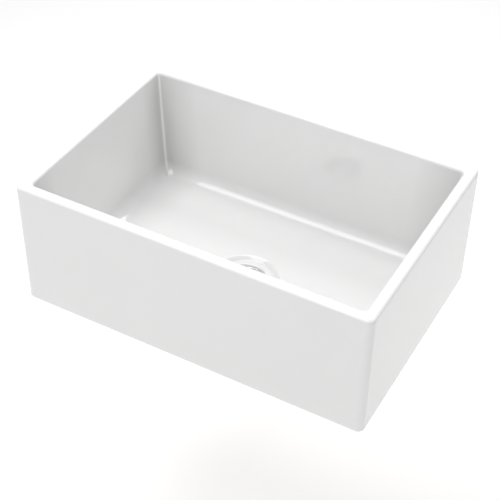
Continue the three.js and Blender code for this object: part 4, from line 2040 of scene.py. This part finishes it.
@dataclass
class StopperPost:
    """The knob, rod and rubber stopper that slide in the basket to shut the outlet."""

    rod_radius: float = ROD_RADIUS
    stem_radius: float = 0.0055
    knob_roof: float = 0.0047
    plate_edge: float = 0.0005
    throat_radius: float = THROAT_RADIUS
    seal_taper: float = 0.0018
    nut_radius: float = 0.0075
    tip_neck: float = 0.0024
    tip_slot: float = 0.0012
    slot_depth: float = 0.007
    cut_margin: float = 0.002
    fit: float = FIT
    knob: Span = placed("lift_knob")
    rod: Span = placed("post_rod")
    plate: Span = placed("stopper_plate")
    seal: Span = placed("stopper_seal")
    nut: Span = placed("stopper_nut")
    tip: Span = placed("snap_tip")

    def build(self, finishes: Finishes, cut: ShapeTree) -> None:
        """Builds the six pieces.

        Args:
            finishes: The sink's finishes.
            cut: The tree that cuts slots.
        """
        bore = self.rod_radius + self.fit
        self.build_knob(finishes)
        rod = turned("post_pin", rounded([
            Corner(0.0, self.rod.low),
            Corner(self.rod.radius, self.rod.low, 0.0002),
            Corner(self.rod.radius, self.rod.high, 0.0006),
            Corner(0.0, self.rod.high),
        ]), self.rod, SMALL_ROUND_STEPS)
        finishes.dress(rod, "polished_steel", "post_rod", POST_BODY)
        ring = ring_profile(self.plate, bore, self.plate_edge)
        plate = turned("backing_plate", ring, self.plate)
        finishes.dress(plate, "satin_steel", "stopper_plate", POST_BODY)
        self.build_seal(finishes, bore)
        self.build_nut(finishes, bore)
        self.build_tip(finishes, cut)

    def build_knob(self, finishes: Finishes) -> None:
        """Builds the mushroom knob, hollow underneath where the rod goes in.

        Args:
            finishes: The sink's finishes.
        """
        span, bore = self.knob, self.rod_radius + self.fit
        blind = span.high - self.knob_roof
        profile = rounded([
            Corner(0.0, span.high),
            Corner(span.radius * 0.62, span.high - 0.0006, 0.006),
            Corner(span.radius, span.high - 0.0026, 0.0016),
            Corner(span.radius, span.high - 0.0062, 0.0014),
            Corner(self.stem_radius + 0.0012, span.high - 0.0078, 0.002),
            Corner(self.stem_radius, span.high - 0.0100, 0.002),
            Corner(self.stem_radius, span.low, 0.0004),
            Corner(bore, span.low, 0.0002),
            Corner(bore, blind, 0.0002),
            Corner(0.0, blind),
        ])
        piece = turned("pull_knob", profile, span, SMALL_ROUND_STEPS)
        finishes.dress(piece, "polished_steel", "lift_knob", POST_BODY)

    def build_seal(self, finishes: Finishes, bore: float) -> None:
        """Builds the rubber disc, whose underside tapers up from the outlet to a thin lip.

        Args:
            finishes: The sink's finishes.
            bore: The radius of its hole.
        """
        span = self.seal
        lip = span.low + self.seal_taper
        profile = rounded([
            Corner(bore, span.low, 0.0002),
            Corner(self.throat_radius, span.low, 0.0005),
            Corner(span.radius, lip, 0.0003),
            Corner(span.radius, lip + 0.0007, 0.0003),
            Corner(span.radius - 0.0015, lip + 0.0014, 0.0006),
            Corner(self.plate.radius + 0.001, span.high, 0.001),
            Corner(bore, span.high, 0.0002),
        ])
        piece = turned("rubber_stopper", profile, span)
        finishes.dress(piece, "rubber", "stopper_seal", POST_BODY)

    def build_nut(self, finishes: Finishes, bore: float) -> None:
        """Builds the hexagon nut that clamps the rubber.

        Args:
            finishes: The sink's finishes.
            bore: The radius of its hole.
        """
        outlines = [circle(self.nut_radius, 6, math.pi / 2), circle(bore, steps=40)]
        piece = flat_blank("hexagon_nut", outlines, self.nut, edge=0.0004)
        finishes.dress(piece, "polished_steel", "stopper_nut", POST_BODY)

    def build_tip(self, finishes: Finishes, cut: ShapeTree) -> None:
        """Builds the split tip.

        Args:
            finishes: The sink's finishes.
            cut: The tree that cuts slots.
        """
        span, foot = self.tip, self.tip.low
        profile = rounded([
            Corner(0.0, span.high),
            Corner(self.rod_radius, span.high, 0.0002),
            Corner(self.rod_radius, span.high - 0.0015, 0.0005),
            Corner(self.tip_neck, span.high - 0.0025, 0.0008),
            Corner(self.tip_neck, foot + 0.005, 0.0008),
            Corner(span.radius, foot + 0.0032, 0.0006),
            Corner(span.radius, foot + 0.0024, 0.0006),
            Corner(self.tip_neck - 0.0006, foot, 0.0006),
            Corner(0.0, foot),
        ])
        piece = turned("split_tip", profile, span, SMALL_ROUND_STEPS)
        reach = 2 * span.radius
        slot = box_piece(
            "slot_tool",
            Vector((-self.tip_slot / 2, -reach, foot - self.cut_margin)),
            Vector((self.tip_slot / 2, reach, foot + self.slot_depth)),
        )
        cut.apply(piece, {
            "Tool": slot,
            "Count": 1,
            "Centre": (span.x, span.y, 0.0),
            "Material": finishes.by_slot["nylon"],
        })
        bpy.data.objects.remove(slot)
        finishes.dress(smooth(piece), "nylon", "snap_tip", POST_BODY)


# ----------------------------------------------------------------------------- studio


@dataclass(frozen=True)
class SoftBox:
    """One rectangular studio light: which way it lies from the well, its glow and its turn."""

    name: str
    direction: Triple
    size: tuple[float, float]
    radiance: float
    turn: float = 0.0
    reach: float = 3.0

    def build(self, aim: Vector) -> None:
        """Hangs the light so that it faces the point that it is aimed at.

        Args:
            aim: The point that it faces.
        """
        away = Vector(self.direction).normalized()
        data = bpy.data.lights.new(self.name, "AREA")
        data.shape = "RECTANGLE"
        data.size, data.size_y = self.size
        data.energy = math.pi * self.size[0] * self.size[1] * self.radiance
        light = new_piece(self.name, data)
        light.location = aim + away * self.reach
        facing = Quaternion(away, self.turn) @ away.to_track_quat("Z", "Y")
        light.rotation_euler = facing.to_euler()
        light.visible_camera = False


SOFT_BOXES = (
    SoftBox("overhead_box", (-0.271, -0.087, 0.959), (1.5, 2.8), 3.1, 1.21),
    SoftBox("front_box", (-0.05, -0.88, 0.42), (2.0, 2.0), 1.12),
    SoftBox("ceiling_box", (-0.20, 0.10, 0.97), (1.6, 1.6), 1.2),
    SoftBox("back_box", (0.02, 0.66, 0.75), (1.6, 1.2), 5.2),
    SoftBox("right_box", (0.78, -0.28, 0.56), (2.0, 2.0), 0.5),
    SoftBox("left_box", (-0.85, -0.20, 0.50), (2.0, 2.0), 0.3),
)


@dataclass
class Studio:
    """A pale floor at standing height, soft light, and the photograph's viewpoint."""

    worktop_height: float = 0.91
    floor_size: float = 60.0
    floor_color: Color = (0.96, 0.96, 0.96)
    floor_patch: Color = (0.94, 0.94, 0.94)
    floor_cloud: Pattern = Pattern(0.7, 2.0)
    floor_roughness: float = 0.9
    floor_glow: float = 0.09
    sky: float = 0.52
    light_aim: Vector = field(default_factory=lambda: Vector((0, 0, 0.15)))
    azimuth: float = math.radians(28.36)
    elevation: float = math.radians(40.83)
    roll: float = math.radians(1.01)
    distance: float = 2.248
    target: Vector = field(default_factory=lambda: Vector((0.0229, -0.0387, 0.1293)))
    lens: float = 90.0
    sensor: float = 36.0

    def build(self) -> None:
        """Builds the floor, the light and the camera."""
        self.build_floor()
        self.build_light()
        self.build_camera()

    def build_floor(self) -> None:
        """A wide, even floor where a kitchen's would be."""
        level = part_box("basin")[1].z - self.worktop_height
        half = self.floor_size / 2
        signs = ((-1, -1), (1, -1), (1, 1), (-1, 1))
        corners = [(x * half, y * half, level) for x, y in signs]
        mesh = bpy.data.meshes.new("studio_floor")
        mesh.from_pydata(corners, [], [(0, 1, 2, 3)])
        floor = new_piece("studio_floor", mesh)
        tree = ShaderTree("pale_floor")
        cloud = tree.noise(tree.place(), self.floor_cloud)
        mesh.materials.append(tree.finish(
            Base_Color=tree.blend(cloud, self.floor_color, self.floor_patch),
            Roughness=self.floor_roughness,
            Emission_Color=(1.0, 1.0, 1.0),
            Emission_Strength=self.floor_glow,
        ))

    def build_light(self) -> None:
        """An even pale surround, and large soft boxes round and above the basin."""
        world = bpy.data.worlds.new("studio_surround")
        world.use_nodes = True
        background = world.node_tree.nodes["Background"].inputs
        background["Color"].default_value = (1, 1, 1, 1)
        background["Strength"].default_value = self.sky
        bpy.context.scene.world = world
        bpy.context.scene.view_settings.view_transform = "Standard"
        for box in SOFT_BOXES:
            box.build(self.light_aim)

    def build_camera(self) -> None:
        """The photograph's viewpoint, worked out from the basin's straight edges."""
        back = Vector((
            math.sin(self.azimuth) * math.cos(self.elevation),
            -math.cos(self.azimuth) * math.cos(self.elevation),
            math.sin(self.elevation),
        ))
        right = Vector((0, 0, 1)).cross(back).normalized()
        upright = Matrix((right, back.cross(right), back)).transposed()
        data = bpy.data.cameras.new("photo_view")
        data.lens = self.lens
        data.sensor_width = self.sensor
        camera = new_piece("photo_view", data)
        turn = upright @ Matrix.Rotation(self.roll, 3, "Z")
        place = Matrix.Translation(self.target + back * self.distance)
        camera.matrix_world = place @ turn.to_4x4()
        bpy.context.scene.camera = camera


# ------------------------------------------------------------------------------- main


def main() -> None:
    logging.basicConfig(level=logging.INFO, format="%(name)s: %(message)s")
    finishes = Finishes(Span.of("strainer_body"))
    thread, lugs, punch, cut = (
        thread_tree(),
        ring_tree("UNION"),
        perforation_tree(),
        ring_tree("DIFFERENCE"),
    )
    Basin().build(finishes)
    Strainer().build(finishes, thread, lugs)
    Outlet().build(finishes, thread, lugs)
    Basket().build(finishes, punch)
    StopperPost().build(finishes, cut)
    Studio().build()


if __name__ == "__main__":
    main()
